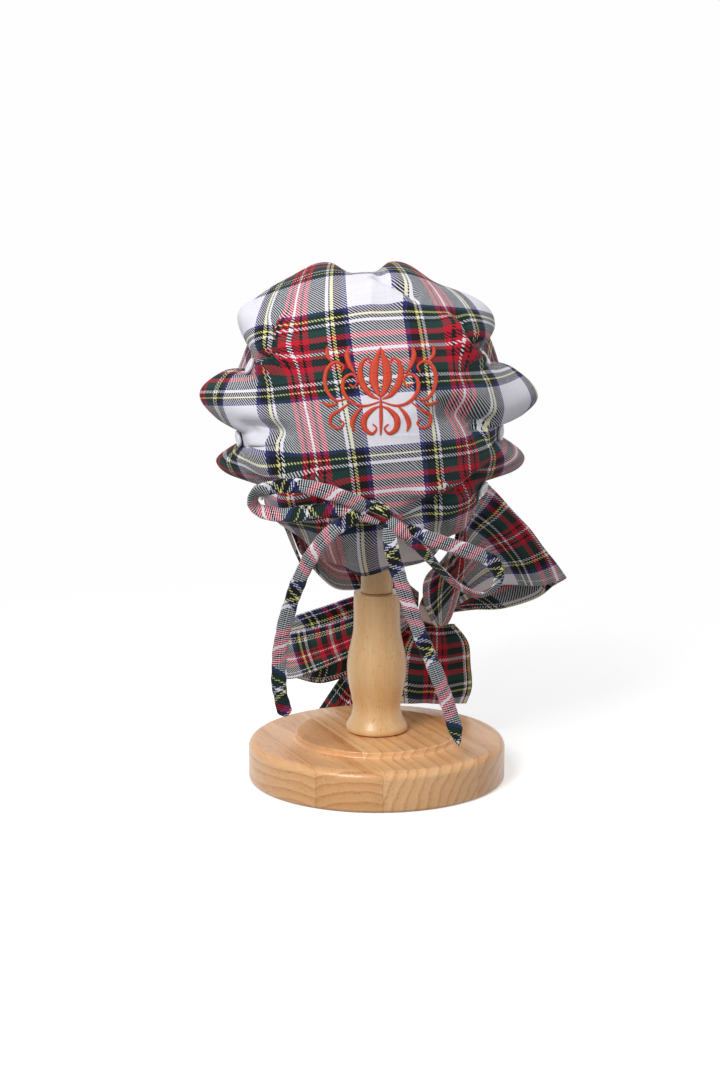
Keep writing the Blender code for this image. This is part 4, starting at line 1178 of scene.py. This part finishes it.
# Rows of points along a loop, along the others and across, and the rough length they are spread over
CHIN_LOOP_STEPS = (170, 0.20)
CHIN_STEPS = (90, 0.10)
CHIN_ACROSS_STEPS = (46, 0.045)
CHIN_TIES = {
    "chin_strap_left": (
        ((-0.74, -0.08, 0.16), (-0.76, -0.08, 0.45)), ((-0.53, 0.01, 0.115), (-0.54, 0.01, 0.37)),
        ((-0.33, 0.03, 0.08), (-0.335, 0.03, 0.27)), ((-0.12, 0.02, -0.01), (-0.116, 0.02, 0.1)),
    ),
    "chin_strap_right": (
        ((-0.07, -0.13, 0.25), (0.21, -0.11, 0.34)), ((-0.09, -0.14, 0.08), (0.17, -0.13, 0.13)),
        ((-0.04, -0.135, -0.06), (0.12, -0.13, -0.04)), ((0.0, -0.125, -0.12), (0.08, -0.125, -0.115)),
    ),
    "chin_loop_right": (
        ((0.113, -0.035, -0.02), (0.109, -0.035, 0.08)), ((0.27, -0.08, 0.09), (0.14, -0.055, 0.42)),
        ((0.47, -0.09, 0.175), (0.23, -0.045, 0.66)), ((0.74, -0.05, 0.16), (0.325, 0.0, 0.8)),
        ((0.9, 0.0, 0.19), (0.36, 0.045, 0.865)), ((0.945, 0.06, 0.19), (0.37, 0.07, 0.88)),
        ((0.86, 0.13, 0.12), (0.35, 0.1, 0.865)), ((0.74, 0.17, 0.02), (0.33, 0.13, 0.78)),
        ((0.5, 0.19, -0.06), (0.27, 0.15, 0.56)), ((0.29, 0.15, -0.06), (0.19, 0.12, 0.32)),
        ((0.118, 0.055, -0.06), (0.108, 0.055, 0.05)),
    ),
    "chin_loop_left": (
        ((-0.113, -0.025, -0.065), (-0.119, -0.025, -0.02)), ((-0.4, -0.06, -0.25), (-0.42, -0.06, -0.01)),
        ((-0.7, -0.05, -0.4), (-0.76, -0.05, -0.12)), ((-0.96, 0.0, -0.52), (-1.06, 0.0, -0.2)),
        ((-1.065, 0.05, -0.555), (-1.145, 0.05, -0.18)), ((-1.02, 0.11, -0.56), (-1.1, 0.11, -0.13)),
        ((-0.8, 0.16, -0.61), (-0.82, 0.16, -0.04)), ((-0.5, 0.17, -0.48), (-0.46, 0.17, 0.06)),
        ((-0.13, 0.09, -0.11), (-0.13, 0.09, -0.01)),
    ),
    "chin_tail_left": (
        ((0.02, 0.058, -0.106), (-0.03, 0.062, -0.112)), ((-0.2, 0.255, -0.43), (-0.4, 0.255, -0.24)),
        ((-0.36, 0.265, -0.74), (-0.66, 0.265, -0.56)), ((-0.56, 0.22, -0.9), (-0.85, 0.22, -0.83)),
    ),
    "chin_tail_right": (
        ((-0.12, 0.022, -0.138), (0.14, 0.022, -0.134)), ((-0.22, -0.01, -0.29), (0.24, -0.01, -0.26)),
        ((-0.25, -0.03, -0.44), (0.26, -0.03, -0.43)), ((-0.26, -0.04, -0.59), (0.27, -0.04, -0.59)),
        ((-0.25, -0.03, -0.715), (0.23, -0.03, -0.715)),
    ),
}
# Phase of the stripes across and along each piece, how deep its folds are, and how far the cloth
# runs off its straight grain behind the fold, in metres
CHIN_GRAIN = {
    "chin_strap_left": (0.051, 0.037, 0.0, 0.0), "chin_strap_right": (0.03, 0.09, 0.0, 0.0),
    "chin_loop_right": (0.049, 0.055, 0.0012, 0.022), "chin_loop_left": (0.057, 0.0728, 0.0014, 0.0),
    "chin_tail_left": (0.051, 0.02, 0.0016, 0.0), "chin_tail_right": (0.051, 0.02, 0.0022, 0.0),
}


def brim_inside(around, across):
    """The strap's place where it is sewn inside the brim, from the knot."""
    spot = Vector(brim_point(around, across))
    along = Vector(brim_point(around, across + 0.02)) - Vector(brim_point(around, across - 0.02))
    rim = Vector(brim_point(around * 0.98, across)) - spot
    inward = along.cross(rim).normalized()
    if inward.dot(Vector((PANEL_OFFSET, spot.y, PANEL_HEIGHT)) - spot) < 0.0:
        inward = -inward
    spot = spot + inward * ((CLOTH + CHIN_TIE_CLOTH) / 2 + FACE_GAP * 4.0)
    return tuple((spot - CHIN_KNOT) / CHIN_BOW_REACH)


for name, side in CHIN_SEWN.items():
    ends = [[brim_inside(side * end, across) for end in (CHIN_SEWN_LOW, CHIN_SEWN_HIGH)]
            for across in CHIN_SEWN_AT]
    CHIN_TIES[name] = tuple(ends) + CHIN_TIES[name]
for name, rows in CHIN_TIES.items():
    low, high = [row[0] for row in rows], [row[1] for row in rows]
    loop, strap = "loop" in name, "strap" in name
    ats = edge_steps(*(CHIN_LOOP_STEPS if loop else CHIN_STEPS), CHIN_TIE_CLOTH / 2)
    shares = edge_steps(*CHIN_ACROSS_STEPS, CHIN_TIE_CLOTH / 2)
    across_phase, along_phase, fold, drift = CHIN_GRAIN[name]
    grid = []
    for at in ats:
        start, end = Vector(curve_through(low, at)), Vector(curve_through(high, at))
        out = way_along(low, at, 0.02).cross(end - start).normalized()
        near = math.sin(math.pi * at) if loop else min(1.0, at * 1.6)
        deep = fold * (0.35 + 0.65 * (1.0 - near)) * min(1.0, (end - start).length * 3.0)
        for share in shares:
            middle = math.sin(math.pi * share)
            swell = 0.0 if strap else 0.02 * middle * math.sin(math.pi * at)
            pleat = math.sin(share * 15.0 + 1.2 * math.sin(at * 6.0)) * middle * deep
            spot = CHIN_KNOT + (start.lerp(end, share) + out * swell) * CHIN_BOW_REACH + out * pleat
            grid.append(tuple(spot))
    grid = np.array(grid).reshape(len(ats), len(shares), 3)
    long, wide = lengths_along(grid, 0), lengths_along(grid, 1)
    full = wide[:, -1].max()
    past_fold = np.clip((np.asarray(ats)[:, None] - 0.5) / 0.18, 0.0, 1.0)
    off_grain = drift * past_fold**2 * (3.0 - 2.0 * past_fold)
    over = np.broadcast_to((shares[None, :] - 0.5) * full, long.shape)
    cloth = np.stack([over + across_phase + off_grain, long + along_phase], axis=2)
    seam = np.stack([np.minimum(wide, wide[:, -1:] - wide), long], axis=2)
    thick = CHIN_TIE_CLOTH * rounded(from_edges(long, wide), CHIN_TIE_CLOTH / 2)
    sash = closed_cloth(name + "_sash", grid, cloth, seam, thick, tartan_stitched)
    fit(sash, name)

chin_ring = wrap_frames(CHIN_KNOT, *CHIN_WRAP)
fit(tube_cloth("chin_wrap", chin_ring, True, (0.154, 0.076), tartan_plain), "chin_knot")
knot_core("chin_core", CHIN_KNOT, *CHIN_CORE)


# The studio: a white floor that fades into a seamless white backdrop, soft even light from the
# room, a large soft lamp high at the left of the camera and a weaker one at the right.
FLOOR_RADIUS = 2.4
FLOOR_FADE = (0.13, 0.75)
FLAG_RADIUS = 0.6
FLAG_HEIGHT = -0.004
BACKDROP_RADIUS = 9.0
ROOM_LIGHT = 0.42
WHITE = (1.0, 1.0, 1.0, 1.0)
# Name, place, size and power of each lamp; all are aimed at one point inside the bonnet
LAMPS = (
    ("lamp_key", (-0.62, -1.05, 1.2), 0.7, 18.0), ("lamp_fill", (1.2, -0.9, 0.7), 1.0, 2.0),
    ("lamp_top", (0.1, 0.3, 1.4), 0.8, 3.0),
)
LAMP_AIM = Vector((0.0, 0.0, 0.2))


def floor_look():
    look, start = new_look("studio_floor", {
        "Roughness": 0.7, "Specular IOR Level": 0.05, "Emission Color": WHITE, "Emission Strength": 0.38})
    place = start.place()
    distance = place.node("VectorMath", {"operation": "LENGTH"}, {0: place}, "Value")
    gone = distance.node("MapRange", {"interpolation_type": "SMOOTHERSTEP"}, {
        "Value": distance, "From Min": FLOOR_FADE[0], "From Max": FLOOR_FADE[1]})
    clear = start.node("BsdfTransparent", {}, {})
    fading = start.node("MixShader", {}, {0: gone, 1: start, 2: clear})
    look.node_tree.links.new(fading.socket, look.node_tree.nodes["Material Output"].inputs["Surface"])
    return coat(look, place.noise(1.5, 1.0).ramp([(0.0, grey(0.90)), (1.0, grey(0.94))]))


def backdrop_look():
    look, start = new_look("studio_backdrop", {"Emission Strength": 1.0, "Specular IOR Level": 0.0})
    glow = start.place().noise(0.3, 0.0).ramp([(0.0, grey(0.98)), (1.0, grey(1.0))])
    return coat(look, start.node("RGB", {}, {}).mixed(1.0, grey(0.0)), glow=glow)


def flag_look():
    look, start = new_look("studio_flag", {
        "Roughness": 0.9, "Emission Color": WHITE, "Emission Strength": 0.16})
    return coat(look, start.place().noise(3.0, 1.0).ramp([(0.0, grey(0.02)), (1.0, grey(0.03))]))


floor_profile = [(0.0, 0.0), (0.2, 0.0), (0.8, 0.0), (FLOOR_RADIUS, 0.0)]
floor = turned("studio_floor", floor_profile, 96, floor_look(), closed=False)
# a dark card under the floor keeps the floor from lighting the cloth from below
flag_profile = [(radius, FLAG_HEIGHT) for radius in (0.0, FLAG_RADIUS / 2, FLAG_RADIUS)]
flag = turned("studio_flag", flag_profile, 64, flag_look(), closed=False)
flag.visible_camera = False
flag.visible_glossy = False
floor.visible_diffuse = False
backdrop = turned("studio_backdrop", arc(0.0, 0.0, BACKDROP_RADIUS, 90, -90, 24), 48, backdrop_look())
backdrop.visible_diffuse = False
backdrop.visible_shadow = False
world = bpy.data.worlds.new("studio")
world.use_nodes = True
world.node_tree.nodes["Background"].inputs["Color"].default_value = WHITE
world.node_tree.nodes["Background"].inputs["Strength"].default_value = ROOM_LIGHT
bpy.context.scene.world = world
for name, spot, size, power in LAMPS:
    lamp = bpy.data.lights.new(name, "AREA")
    lamp.shape = "DISK"
    lamp.size = size
    lamp.energy = power
    holder = put(name, lamp)
    holder.location = spot
    holder.rotation_euler = (LAMP_AIM - Vector(spot)).to_track_quat("-Z", "Y").to_euler()
bpy.context.scene.view_settings.view_transform = "Standard"
